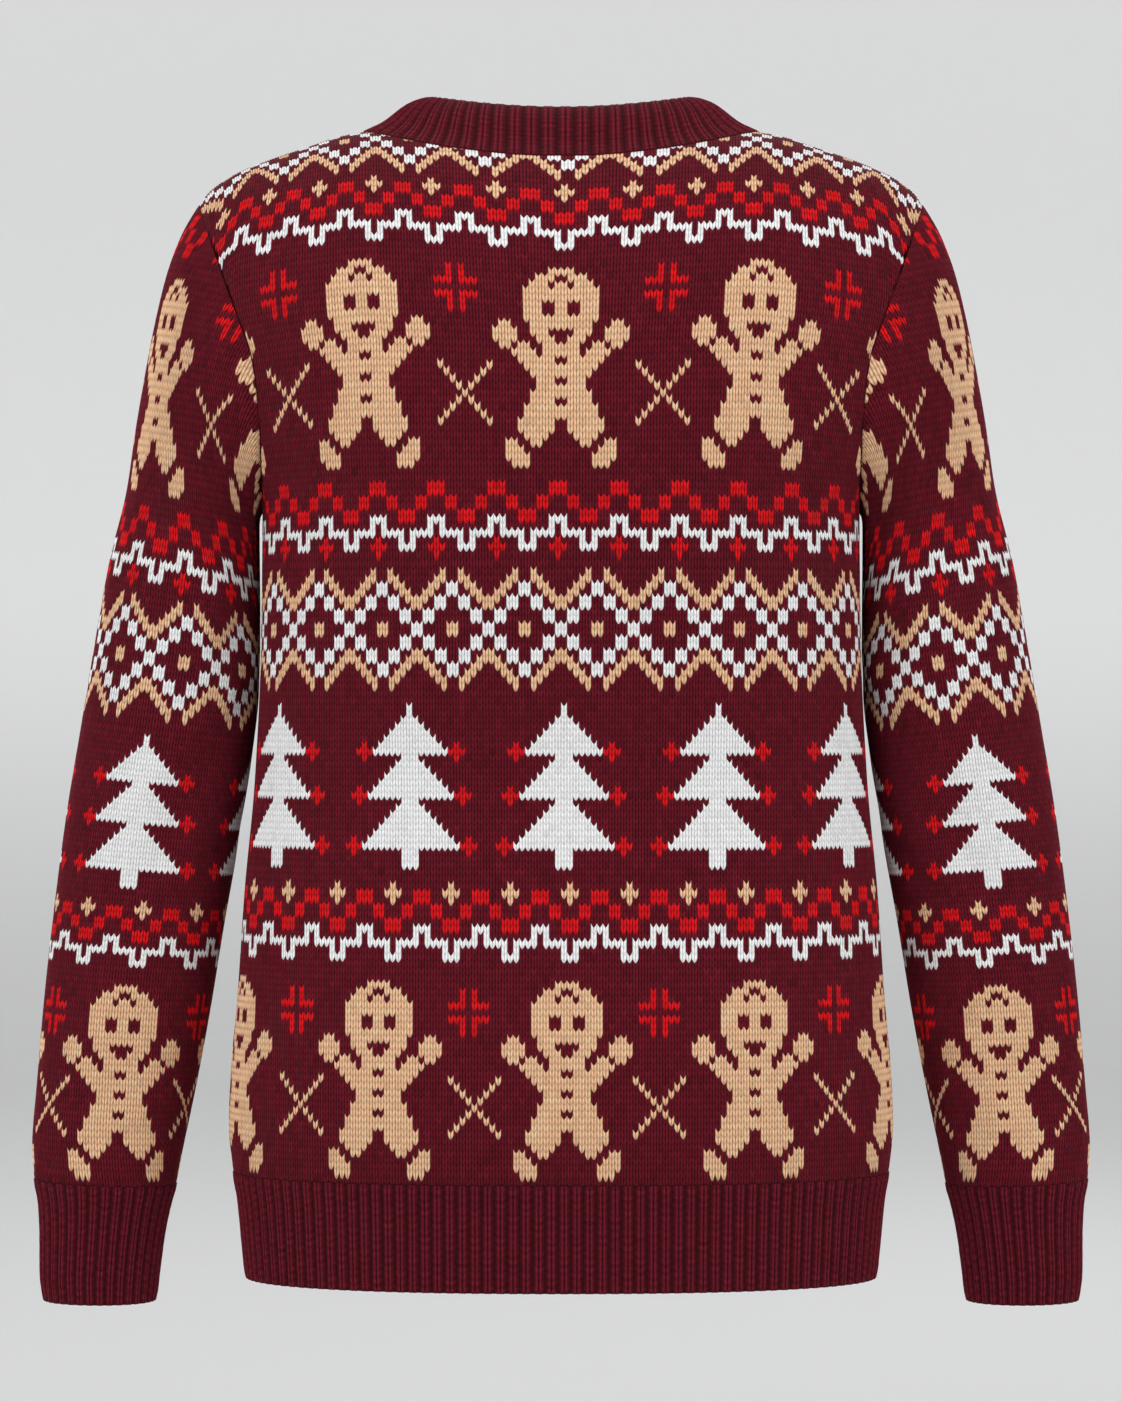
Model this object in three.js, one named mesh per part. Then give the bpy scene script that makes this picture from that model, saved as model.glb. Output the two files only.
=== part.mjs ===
// A crew-neck pullover in jacquard knit, worn shape and hollow, millimetres, +Z up.
// The wearer faces +Y, so the back of the garment faces -Y and the wearer's right is +X.
// The origin is midway between the two neck points, where the shoulder seams meet the neckband.
import * as THREE from 'three';

// Wall and seams
const wall = 2.2;
const bandWall = 2.6;
const seamGap = 0.3;
const neckSeamExtra = 1.5;
const mitreLimit = 1.6;

// Heights that the cut is built on
const underarmZ = -215;
const tipZ = -42;
const yokeZ = (underarmZ + tipZ) / 2;
const armholeHalf = (tipZ - underarmZ) / 2;
const hemSeamZ = -601.5;

// Shoulder and neck
const shoulderTipX = 209.5;
const neckHalfWidth = 115;
const neckAcross = neckHalfWidth / shoulderTipX;
const squareness = 2.3;
const sleeveSquareness = 2.1;

// What differs between the two body panels: depth column, armhole, neckline and neckband top
const faces = {
  back: {
    sign: -1, depth: 'back', edge: 'backX', reach: 60,
    neckReach: 70, neckCurve: 2, neckSteps: 5, bandReach: 44, bandZ: 10, bandCurve: 1.8,
  },
  front: {
    sign: 1, depth: 'front', edge: 'frontX', reach: 58,
    neckReach: 108, neckCurve: 2.6, neckSteps: 7, bandReach: 82, bandZ: -34, bandCurve: 1.45,
  },
};
const shoulderSteps = 5;

// Panels and sleeves meet at every turnStep degrees of the armhole
const turnStep = 15;
const yokeSteps = 90 / turnStep;

// Half width of the body and how far back and front stand from the side seams, by height
const bodyRows = [
  { z: -601.5, halfWidth: 189.5, back: 100, front: 101 },
  { z: -575, halfWidth: 192, back: 105, front: 105 },
  { z: -540, halfWidth: 190.5, back: 106, front: 107 },
  { z: -500, halfWidth: 187, back: 103, front: 108 },
  { z: -440, halfWidth: 183, back: 96, front: 108 },
  { z: -375, halfWidth: 177, back: 92, front: 109 },
  { z: -300, halfWidth: 173.5, back: 99, front: 114 },
  { z: -215, halfWidth: 172.5, back: 111, front: 121 },
  { z: -170, halfWidth: 172.5, back: 114, front: 122 },
  { z: -128.5, halfWidth: 172.5, back: 112, front: 117 },
];
const bodyLevels = [-601.5, -572, -535, -490, -440, -385, -330, -278, -240, -215];

// Sideways place of the armhole seam, from the underarm up to the widest part of the hole
const armholeRows = [
  { z: -215, backX: 172.5, frontX: 172.5 },
  { z: -195, backX: 172, frontX: 171 },
  { z: -179, backX: 172, frontX: 169.5 },
  { z: -159, backX: 173, frontX: 169 },
  { z: -139, backX: 175, frontX: 171 },
  { z: -128.5, backX: 177.5, frontX: 173.5 },
];

// Height of the yoke's crest: the shoulder ridge from neck point to tip, and over the open neck
// the height that the two panels would reach if the neckline did not cut them off
const ridgeRows = [
  { x: 0, z: 10 },
  { x: 40, z: 8.4 },
  { x: 80, z: 4.8 },
  { x: 115, z: 0 },
  { x: 128, z: -2.6 },
  { x: 152, z: -10.4 },
  { x: 170, z: -16.5 },
  { x: 189, z: -24.5 },
  { x: 203, z: -34 },
  { x: 209.5, z: -42 },
];

// Sleeve sections: the outer and inner edge seen from behind, half depth, how far forward,
// and how much of the armhole's own bend the section keeps
const sleeveRows = [
  { outX: 209.5, outZ: -42, inX: 172.5, inZ: -215, halfDepth: 60, forward: 0, bend: 1 },
  { outX: 219, outZ: -58, inX: 175, inZ: -222, halfDepth: 61, forward: 2, bend: 0.75 },
  { outX: 227.5, outZ: -79, inX: 176, inZ: -229, halfDepth: 61, forward: 5, bend: 0.5 },
  { outX: 234.5, outZ: -105, inX: 176, inZ: -238, halfDepth: 60, forward: 9, bend: 0.28 },
  { outX: 241, outZ: -136, inX: 176, inZ: -249, halfDepth: 58.5, forward: 13, bend: 0.12 },
  { outX: 247.4, outZ: -171, inX: 176, inZ: -262, halfDepth: 57, forward: 17, bend: 0.04 },
  { outX: 253, outZ: -207, inX: 176, inZ: -277, halfDepth: 55.5, forward: 20, bend: 0 },
  { outX: 263, outZ: -247, inX: 176, inZ: -296, halfDepth: 54, forward: 22, bend: 0 },
  { outX: 271.4, outZ: -292, inX: 177, inZ: -325, halfDepth: 53, forward: 25, bend: 0 },
  { outX: 280, outZ: -342, inX: 181.5, inZ: -362, halfDepth: 51.5, forward: 28, bend: 0 },
  { outX: 289, outZ: -395, inX: 188.5, inZ: -408, halfDepth: 50, forward: 30, bend: 0 },
  { outX: 296.3, outZ: -449, inX: 197.7, inZ: -459, halfDepth: 48.5, forward: 32, bend: 0 },
  { outX: 302.5, outZ: -504, inX: 206.4, inZ: -512, halfDepth: 47, forward: 33, bend: 0 },
  { outX: 307, outZ: -555, inX: 215.5, inZ: -560, halfDepth: 44.5, forward: 34, bend: 0 },
  { outX: 309.6, outZ: -588, inX: 222, inZ: -591, halfDepth: 42.5, forward: 34, bend: 0 },
  { outX: 308.5, outZ: -609, inX: 226, inZ: -612, halfDepth: 40, forward: 34, bend: 0 },
];
const cuffRows = [
  { outX: 308.5, outZ: -609, inX: 226, inZ: -612, halfDepth: 40, forward: 34, bend: 0 },
  { outX: 305.5, outZ: -624, inX: 230.2, inZ: -626, halfDepth: 37, forward: 34, bend: 0 },
  { outX: 304.6, outZ: -643, inX: 233.8, inZ: -644, halfDepth: 35, forward: 34, bend: 0 },
  { outX: 304.6, outZ: -662, inX: 236.3, inZ: -663, halfDepth: 34, forward: 34, bend: 0 },
  { outX: 303, outZ: -680, inX: 238.3, inZ: -680.5, halfDepth: 32.5, forward: 34, bend: 0 },
];
const sleeveColumns = 360 / turnStep;

// Hem band sections below the hem seam
const hemRows = [
  { z: -601.5, halfWidth: 189.5, back: 100, front: 101 },
  { z: -617, halfWidth: 186.5, back: 98, front: 99 },
  { z: -642, halfWidth: 184, back: 96.5, front: 97.5 },
  { z: -662.5, halfWidth: 182, back: 95, front: 96 },
];

// Ribs: distance between ribs, height over the valleys, and the inner wall's share of columns
const hemRib = { pitch: 7.2, height: 1.3, coarse: 4 };
const cuffRib = { pitch: 6.5, height: 1.2, coarse: 4 };
const neckRib = { perStep: 3, height: 1.2, coarse: 3 };

// Top edge of the neckband at the sides, and its rows between base and top
const bandTop = { halfWidth: 75.5, sideZ: 20 };
const bandLevels = [0, 0.3, 0.68, 1];
const bandBulge = 3;

// Broad soft folds. On the body: place across and up, lean, length, width and depth
const bodyFolds = [
  { face: 'back', x: 128, z: -236, lean: 0.9, length: 62, width: 20, depth: 3.2 },
  { face: 'back', x: -134, z: -250, lean: -0.8, length: 54, width: 18, depth: 2.8 },
  { face: 'back', x: 96, z: -392, lean: 0.35, length: 80, width: 24, depth: 2.2 },
  { face: 'back', x: -110, z: -372, lean: -0.3, length: 70, width: 22, depth: 2.4 },
  { face: 'front', x: 130, z: -232, lean: 0.9, length: 58, width: 19, depth: 3 },
  { face: 'front', x: -126, z: -244, lean: -0.8, length: 60, width: 20, depth: 3 },
  { face: 'front', x: 40, z: -480, lean: 0.2, length: 85, width: 26, depth: 2.2 },
];
// On the sleeves: turn from the outer edge in degrees, height, lean, length, width and depth
const sleeveFolds = {
  right: [
    { turn: 147, z: -286, lean: 0.6, length: 40, width: 15, depth: 2.8 },
    { turn: 110, z: -384, lean: 0.3, length: 52, width: 18, depth: 3 },
    { turn: 232, z: -340, lean: -0.5, length: 44, width: 17, depth: 3 },
    { turn: 86, z: -546, lean: 0.3, length: 42, width: 16, depth: 2.4 },
    { turn: 243, z: -560, lean: -0.2, length: 40, width: 16, depth: 2.4 },
  ],
  left: [
    { turn: 138, z: -292, lean: 0.5, length: 42, width: 16, depth: 3 },
    { turn: 118, z: -372, lean: 0.35, length: 48, width: 18, depth: 3.2 },
    { turn: 226, z: -350, lean: -0.4, length: 46, width: 17, depth: 3 },
    { turn: 92, z: -556, lean: 0.2, length: 44, width: 16, depth: 2.4 },
    { turn: 250, z: -548, lean: -0.2, length: 40, width: 16, depth: 2.4 },
  ],
};

const degree = Math.PI / 180;
const sectionSteps = 60;
const foldArc = 50 * degree; // millimetres of sleeve to a degree of turn
const foldEdge = 8; // how sharply the folds fade out before a panel's edge
const nudge = { turn: 4, across: 0.004, inward: 0.03, climb: 0.02, x: 2, tip: 8 }; // for slopes
const point = (x, y, z) => new THREE.Vector3(x, y, z);
const curved = (value, power) => Math.sign(value) * Math.abs(value) ** power;

// One column of a table at a value of its key, on a smooth curve that never overshoots a row
function lookUp(rows, key, value, column) {
  const last = rows.length - 1;
  const rising = rows[last][key] > rows[0][key] ? 1 : -1;
  let i = 0;
  while (i < last - 1 && rising * value > rising * rows[i + 1][key]) i++;
  const step = (n) => rows[n + 1][key] - rows[n][key];
  const rate = (n) => (rows[n + 1][column] - rows[n][column]) / step(n);
  const slope = (n) => {
    if (n === 0) return rate(0);
    if (n === last) return rate(last - 1);
    const before = rate(n - 1), after = rate(n);
    return before * after <= 0 ? 0 : (2 * before * after) / (before + after);
  };
  const width = step(i);
  const t = THREE.MathUtils.clamp((value - rows[i][key]) / width, 0, 1);
  const a = rows[i][column], b = rows[i + 1][column];
  return a * (1 + 2 * t) * (1 - t) ** 2 + b * t * t * (3 - 2 * t)
    + width * (slope(i) * t * (1 - t) ** 2 - slope(i + 1) * t * t * (1 - t));
}

// The point at a share of a curve's length
function alongCurve(curve, share) {
  const lengths = [0];
  for (let i = 1; i < curve.length; i++) {
    lengths.push(lengths[i - 1] + curve[i].distanceTo(curve[i - 1]));
  }
  const target = share * lengths[lengths.length - 1];
  let i = 1;
  while (i < curve.length - 1 && lengths[i] < target) i++;
  const t = (target - lengths[i - 1]) / (lengths[i] - lengths[i - 1]);
  return curve[i - 1].clone().lerp(curve[i], t);
}

// How deep the folds press a place in, with the place given in the table's own two directions
function foldDepth(folds, across, up, scaleAcross, acrossKey) {
  let depth = 0;
  for (const fold of folds) {
    const dx = (across - fold[acrossKey]) * scaleAcross;
    const dz = up - fold.z;
    const along = dx * Math.sin(fold.lean) + dz * Math.cos(fold.lean);
    const off = dx * Math.cos(fold.lean) - dz * Math.sin(fold.lean);
    depth += fold.depth * Math.exp(-((off / fold.width) ** 2) - (along / fold.length) ** 2);
  }
  return depth;
}

// Half of a body section from the middle of the back or front out to its edge
const rowCurves = new Map();
function rowCurve(face, z, rows = bodyRows) {
  const key = face.depth + z + rows.length;
  if (rowCurves.has(key)) return rowCurves.get(key);
  const depth = lookUp(rows, 'z', z, face.depth);
  let edgeX = lookUp(rows, 'z', z, 'halfWidth');
  let end = Math.PI / 2;
  if (z > underarmZ) {
    edgeX = lookUp(armholeRows, 'z', z, face.edge);
    const edgeY = face.reach * Math.sqrt(Math.max(0, 1 - ((yokeZ - z) / armholeHalf) ** 2));
    end = Math.acos((edgeY / depth) ** (squareness / 2));
  }
  const power = 2 / squareness;
  const curve = [];
  for (let i = 0; i <= sectionSteps; i++) {
    const turn = (end * i) / sectionSteps;
    const x = edgeX * (Math.sin(turn) / Math.sin(end)) ** power;
    const y = face.sign * depth * Math.max(0, Math.cos(turn)) ** power;
    curve.push(point(x, y, z));
  }
  rowCurves.set(key, curve);
  return curve;
}

// A place on a body panel below the yoke: across runs from -1 to 1 between the panel's edges
function bodyPoint(face, across, z, rows = bodyRows) {
  const p = alongCurve(rowCurve(face, z, rows), Math.abs(across));
  p.x *= Math.sign(across) || 1;
  const folds = bodyFolds.filter((fold) => fold.face === face.depth);
  p.y -= face.sign * Math.max(0, 1 - across ** foldEdge) * foldDepth(folds, p.x, z, 1, 'x');
  return p;
}

// A place on the yoke: climb runs from the widest part of the armhole to the top line, which is
// the shoulder ridge or, nearer the middle, the neckline that cuts the same curve off
function yokePoint(face, across, climb) {
  const start = bodyPoint(face, across, yokeZ);
  const topX = shoulderTipX * Math.abs(across);
  const open = Math.max(0, 1 - (topX / neckHalfWidth) ** face.neckCurve) ** (1 / face.neckCurve);
  const full = Math.acos((face.neckReach * open) / Math.abs(start.y));
  const turn = full * climb;
  const x = Math.abs(start.x) + ((topX - Math.abs(start.x)) * Math.sin(turn)) / Math.sin(full);
  return point(
    (Math.sign(across) || 1) * x,
    start.y * Math.cos(turn),
    yokeZ + (lookUp(ridgeRows, 'x', topX, 'z') - yokeZ) * Math.sin(turn),
  );
}

const topPoint = (face, across) => yokePoint(face, across, 1);

// Shares across a panel: even steps along the neckline, then even steps along the shoulder
function panelColumns(face) {
  const neckline = [];
  for (let turn = 0; turn <= 90; turn++) {
    neckline.push(topPoint(face, neckAcross * Math.sin(turn * degree)));
  }
  const half = [];
  for (let i = 0; i <= face.neckSteps; i++) {
    half.push(alongCurve(neckline, i / face.neckSteps).x / shoulderTipX);
  }
  half[face.neckSteps] = neckAcross;
  for (let i = 1; i <= shoulderSteps; i++) {
    half.push(neckAcross + ((1 - neckAcross) * i) / shoulderSteps);
  }
  return [...half.slice(1).reverse().map((v) => -v), ...half];
}

// The armhole seam of the +X side, by turn in degrees from the shoulder tip towards the back
function armholePoint(turn) {
  const around = ((turn % 360) + 360) % 360;
  const face = around <= 180 ? faces.back : faces.front;
  const fromTip = around <= 180 ? around : 360 - around;
  if (fromTip < 90) return yokePoint(face, 1, 1 - fromTip / 90);
  return bodyPoint(face, 1, yokeZ + armholeHalf * Math.cos(fromTip * degree));
}

const armholeTangent = (turn) => armholePoint(turn + nudge.turn).sub(armholePoint(turn - nudge.turn));

// A plain sleeve or cuff section between its outer and inner edge
function flatSection(row, turn) {
  const power = 2 / sleeveSquareness;
  const c = curved(Math.cos(turn * degree), power);
  const s = curved(Math.sin(turn * degree), power);
  return point(
    (row.outX + row.inX) / 2 + ((row.outX - row.inX) / 2) * c,
    row.forward - row.halfDepth * s,
    (row.outZ + row.inZ) / 2 + ((row.outZ - row.inZ) / 2) * c,
  );
}

// A place on the +X sleeve: the section's row, and the turn from its outer edge towards the back
function sleevePoint(row, turn, folds = []) {
  const p = flatSection(row, turn);
  if (row.bend > 0) {
    const pull = armholePoint(turn).sub(flatSection(sleeveRows[0], turn));
    p.addScaledVector(pull, row.bend);
  }
  const middle = point((row.outX + row.inX) / 2, row.forward, (row.outZ + row.inZ) / 2);
  const out = p.clone().sub(middle).normalize();
  const around = ((turn % 360) + 360) % 360;
  const press = (1 - row.bend) * foldDepth(folds, around, p.z, foldArc, 'turn');
  return p.addScaledVector(out, -press);
}

// The neckband's top edge: open is 1 at the middle of the back or front and 0 at the sides
function bandTopPoint(side, face, open) {
  const x = bandTop.halfWidth * Math.sqrt(Math.max(0, 1 - open * open));
  const z = bandTop.sideZ + (face.bandZ - bandTop.sideZ) * open ** face.bandCurve;
  return point(side * x, face.sign * face.bandReach * open, z);
}

const unit = (v) => v.clone().normalize();

// The wall's direction through a seam that two surfaces share, so that both end on one plane
function mitre(normalA, normalB) {
  const middle = unit(unit(normalA).add(unit(normalB)));
  const stretch = Math.min(mitreLimit, 1 / Math.max(0.2, middle.dot(unit(normalA))));
  return middle.multiplyScalar(stretch);
}

// Out-facing normal of a body panel at its armhole edge
function armholeBodyNormal(turn) {
  const around = ((turn % 360) + 360) % 360;
  const face = around <= 180 ? faces.back : faces.front;
  const fromTip = around <= 180 ? around : 360 - around;
  if (fromTip === 0) return point(-slopeAtTip(), 0, 1);
  if (fromTip < 90) {
    const climb = 1 - fromTip / 90;
    const here = yokePoint(face, 1, climb);
    const inward = yokePoint(face, 1 - nudge.inward, climb).sub(here);
    const along = yokePoint(face, 1, climb + nudge.climb).sub(here);
    return along.cross(inward).multiplyScalar(-face.sign);
  }
  const curve = rowCurve(face, yokeZ + armholeHalf * Math.cos(fromTip * degree));
  const end = curve[curve.length - 1];
  const before = curve[curve.length - 2];
  return point(before.y - end.y, end.x - before.x, 0).multiplyScalar(face.sign);
}

const slopeAtTip = () => (tipZ - lookUp(ridgeRows, 'x', shoulderTipX - nudge.tip, 'z')) / nudge.tip;

function ridgeNormal(across) {
  const x = shoulderTipX * Math.abs(across);
  const rise = lookUp(ridgeRows, 'x', x + nudge.x, 'z') - lookUp(ridgeRows, 'x', x - nudge.x, 'z');
  return unit(point((-Math.sign(across) * rise) / (2 * nudge.x), 0, 1));
}

// Through-wall direction all round the +X armhole
function armholeMitre(turn) {
  const here = sleevePoint(sleeveRows[0], turn);
  const next = sleevePoint(sleeveRows[1], turn);
  const along = armholeTangent(turn);
  const sleeveNormal = along.cross(next.sub(here));
  return mitre(armholeBodyNormal(turn), sleeveNormal);
}

// Through-wall direction along the neckline, the same for both panels at the neck points
function neckMitre(face, across) {
  const side = Math.sign(across) || 1;
  const limit = neckAcross - 2 * nudge.across;
  if (Math.abs(across) > limit) {
    const both = neckMitre(faces.back, side * limit).add(neckMitre(faces.front, side * limit));
    return unit(both.setY(0));
  }
  const here = topPoint(face, across);
  const along = topPoint(face, across + nudge.across).sub(topPoint(face, across - nudge.across));
  const down = yokePoint(face, across, 1 - nudge.climb).sub(here);
  const open = Math.sqrt(1 - (across / neckAcross) ** 2);
  const up = bandTopPoint(side, face, open).sub(here);
  const panelNormal = along.clone().cross(down).multiplyScalar(face.sign);
  const bandNormal = up.clone().cross(along).multiplyScalar(face.sign);
  return mitre(panelNormal, bandNormal);
}

// A shift off a seam's own plane, towards the piece's inside
function seamShift(tangent, through, towards) {
  const off = unit(tangent.clone().cross(through));
  return off.multiplyScalar((Math.sign(off.dot(towards)) * seamGap) / 2);
}

// Unindexed triangles collected as a closed surface
class Wall {
  constructor() {
    this.positions = [];
    this.triangles = [];
  }

  add(p) {
    this.positions.push(p.x, p.y, p.z);
    return this.positions.length / 3 - 1;
  }

  grid(rows) {
    return rows.map((row) => row.map((p) => this.add(p)));
  }

  span(a, b) {
    return Math.hypot(...[0, 1, 2].map((k) => this.positions[3 * a + k] - this.positions[3 * b + k]));
  }

  // Two triangles on the shorter diagonal
  quad(a, b, c, d) {
    if (this.span(a, c) <= this.span(b, d)) this.triangles.push(a, b, c, a, c, d);
    else this.triangles.push(a, b, d, b, c, d);
  }

  // A skin over a grid of indices, rows going up and columns going round, facing out
  skin(rows, closed, outward) {
    const count = rows[0].length;
    for (let r = 0; r + 1 < rows.length; r++) {
      for (let c = 0; c < (closed ? count : count - 1); c++) {
        const n = (c + 1) % count;
        const corners = [rows[r][c], rows[r][n], rows[r + 1][n], rows[r + 1][c]];
        if (!outward) corners.reverse();
        this.quad(...corners);
      }
    }
  }

  // A rim between two closed loops of different counts that run the same way
  rim(loopA, loopB) {
    let a = 0;
    let b = 0;
    while (a < loopA.length || b < loopB.length) {
      const nextA = (a + 1) / loopA.length;
      const nextB = (b + 1) / loopB.length;
      const currentA = loopA[a % loopA.length];
      const currentB = loopB[b % loopB.length];
      if (b >= loopB.length || (a < loopA.length && nextA <= nextB)) {
        a++;
        this.triangles.push(currentA, loopA[a % loopA.length], currentB);
      } else {
        b++;
        this.triangles.push(currentA, loopB[b % loopB.length], currentB);
      }
    }
  }

  geometry() {
    const made = new THREE.BufferGeometry();
    made.setAttribute('position', new THREE.Float32BufferAttribute(this.positions, 3));
    made.setIndex(this.triangles);
    made.computeVertexNormals();
    return made;
  }
}

// Average out-facing normals on a grid of points, from the cross of its two directions
function gridNormals(rows, closed, outward) {
  const high = rows.length - 1;
  const wide = rows[0].length;
  return rows.map((row, r) => row.map((p, c) => {
    const left = closed ? row[(c + wide - 1) % wide] : row[Math.max(0, c - 1)];
    const right = closed ? row[(c + 1) % wide] : row[Math.min(wide - 1, c + 1)];
    const below = rows[Math.max(0, r - 1)][c];
    const above = rows[Math.min(high, r + 1)][c];
    const normal = unit(right.clone().sub(left).cross(above.clone().sub(below)));
    return outward ? normal : normal.negate();
  }));
}

// A body panel, with its side, armhole, shoulder and neck edges mitred to its neighbours
function bodyPanel(face) {
  const columns = panelColumns(face);
  const armholeTurns = [];
  for (let turn = 180 - turnStep; turn >= 90; turn -= turnStep) armholeTurns.push(turn);
  const levels = [...bodyLevels, ...armholeTurns.map((t) => yokeZ + armholeHalf * Math.cos(t * degree))];
  const rows = levels.map((z) => columns.map((across) => bodyPoint(face, across, z)));
  for (let k = 1; k <= yokeSteps; k++) {
    rows.push(columns.map((across) => yokePoint(face, across, k / yokeSteps)));
  }
  const lastRow = rows.length - 1;
  const lastColumn = columns.length - 1;
  const underarmRow = bodyLevels.length - 1;
  const through = gridNormals(rows, false, face.sign < 0);
  const shift = rows.map((row) => row.map(() => point(0, 0, 0)));

  for (const c of [0, lastColumn]) {
    const side = c ? 1 : -1;
    for (let r = 0; r <= lastRow; r++) {
      const here = rows[r][c];
      if (r < underarmRow) {
        through[r][c] = point(side, 0, 0);
      } else {
        const fromTip = 180 - turnStep * (r - underarmRow);
        const turn = face.sign < 0 ? fromTip : 360 - fromTip;
        const made = armholeMitre(turn);
        const tangent = armholeTangent(turn);
        made.x *= side;
        tangent.x *= side;
        through[r][c] = made;
        const towards = rows[r][c - side].clone().sub(here);
        if (r === underarmRow) towards.set(0, 0, -1);
        shift[r][c].add(seamShift(tangent, made, towards));
      }
      if (r <= underarmRow) shift[r][c].y += (face.sign * seamGap) / 2;
    }
  }
  columns.forEach((across, c) => {
    const here = rows[lastRow][c];
    if (Math.abs(across) >= neckAcross - 1e-6) {
      if (c > 0 && c < lastColumn) through[lastRow][c] = ridgeNormal(across);
      shift[lastRow][c].y += (face.sign * seamGap) / 2;
    }
    if (Math.abs(across) <= neckAcross + 1e-6) {
      const made = neckMitre(face, across);
      const tangent = rows[lastRow][c + 1].clone().sub(rows[lastRow][c - 1]);
      if (Math.abs(across) >= neckAcross - 1e-6) tangent.set(0, 1, 0);
      through[lastRow][c] = made;
      shift[lastRow][c].add(seamShift(tangent, made, rows[lastRow - 1][c].clone().sub(here)));
    }
    through[0][c].setZ(0).normalize();
    shift[0][c].z += seamGap / 2;
  });

  const outer = rows.map((row, r) => row.map((p, c) => p.clone().add(shift[r][c])));
  const inner = outer.map((row, r) => row.map((p, c) => p.clone().addScaledVector(through[r][c], -wall)));
  const made = new Wall();
  const out = made.grid(outer);
  const back = made.grid(inner);
  const outward = face.sign < 0;
  made.skin(out, false, outward);
  made.skin(back, false, !outward);
  const edge = (line, facing) => {
    made.skin([line.map(([r, c]) => out[r][c]), line.map(([r, c]) => back[r][c])], false, facing);
  };
  edge(columns.map((_, c) => [0, c]), !outward);
  edge(columns.map((_, c) => [lastRow, c]), outward);
  edge(rows.map((_, r) => [r, 0]), outward);
  edge(rows.map((_, r) => [r, lastColumn]), !outward);
  return made.geometry();
}

// A sleeve of the +X side, with its folds, from its armhole to the cuff seam
function sleeve(folds) {
  const turns = Array.from({ length: sleeveColumns }, (_, i) => (360 * i) / sleeveColumns);
  const sections = [...sleeveRows].reverse();
  const rows = sections.map((row) => turns.map((turn) => sleevePoint(row, turn, folds)));
  const top = rows.length - 1;
  const through = gridNormals(rows, true, false);
  const axis = cuffAxis();
  turns.forEach((turn, c) => {
    through[top][c] = armholeMitre(turn);
    const tangent = armholeTangent(turn);
    const towards = rows[top - 1][c].clone().sub(rows[top][c]);
    rows[top][c].add(seamShift(tangent, through[top][c], towards));
    through[0][c].addScaledVector(axis, -through[0][c].dot(axis)).normalize();
    rows[0][c].addScaledVector(axis, seamGap / 2);
  });
  const inner = rows.map((row, r) => row.map((p, c) => p.clone().addScaledVector(through[r][c], -wall)));
  return tube(rows, inner, false);
}

// The direction up the forearm, square to the cuff seam
function cuffAxis() {
  const row = cuffRows[0];
  return unit(point(-(row.outZ - row.inZ), 0, row.outX - row.inX));
}

// A closed band or sleeve from its outer and inner rows, rows going up
function tube(outer, inner, outward) {
  const made = new Wall();
  const out = made.grid(outer);
  const back = made.grid(inner);
  made.skin(out, true, outward);
  made.skin(back, true, !outward);
  const ends = [[out[0], back[0]], [back[back.length - 1], out[out.length - 1]]];
  for (const [first, second] of ends) {
    if (outward) made.rim(second, first);
    else made.rim(first, second);
  }
  return made.geometry();
}

const perimeter = (loop) => loop.reduce((sum, p, i) => sum + p.distanceTo(loop[(i + 1) % loop.length]), 0);

// Points at even steps round a closed loop
function evenly(loop, count) {
  const closed = [...loop, loop[0]];
  return Array.from({ length: count }, (_, i) => alongCurve(closed, i / count));
}

// Ribbed rows: every other column stands out from a plain loop, and the inner wall stays plain
function ribbedTube(loops, rib, outward, count, axis) {
  const level = (rows) => [rows[0], rows[rows.length - 1]].forEach((row) => row.forEach((normal) => {
    normal.addScaledVector(axis, -normal.dot(axis)).normalize();
  }));
  const plain = loops.map((loop) => evenly(loop, count));
  const normals = gridNormals(plain, true, outward);
  level(normals);
  const outer = plain.map((row, r) => row.map((p, c) => p.clone().addScaledVector(normals[r][c],
    c % 2 ? 0 : rib.height)));
  const coarse = loops.map((loop) => evenly(loop, Math.round(count / rib.coarse)));
  const coarseNormals = gridNormals(coarse, true, outward);
  level(coarseNormals);
  const inner = coarse.map((row, r) => row.map((p, c) => p.clone().addScaledVector(coarseNormals[r][c],
    -bandWall)));
  return tube(outer, inner, outward);
}

// The hem band, on the body's own section round the hips
function hemBand() {
  const loops = [...hemRows].reverse().map(({ z }) => {
    const level = z === hemSeamZ ? z - seamGap / 2 : z;
    const loop = [];
    for (let i = -sectionSteps; i < sectionSteps; i++) {
      loop.push(bodyPoint(faces.back, i / sectionSteps, z, hemRows));
    }
    for (let i = sectionSteps; i > -sectionSteps; i--) {
      loop.push(bodyPoint(faces.front, i / sectionSteps, z, hemRows));
    }
    return loop.map((p) => p.setZ(level));
  });
  const count = 2 * Math.round(perimeter(loops[1]) / hemRib.pitch);
  return ribbedTube(loops, hemRib, true, count, point(0, 0, 1));
}

// A cuff of the +X side
function cuff() {
  const axis = cuffAxis();
  const loops = [...cuffRows].reverse().map((row, i, all) => {
    const loop = [];
    for (let turn = 0; turn < 360; turn += 360 / sectionSteps) loop.push(flatSection(row, turn));
    if (i === all.length - 1) loop.forEach((p) => p.addScaledVector(axis, -seamGap / 2));
    return loop;
  });
  const count = 2 * Math.round(perimeter(loops[1]) / cuffRib.pitch);
  return ribbedTube(loops, cuffRib, false, count, axis);
}

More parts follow.
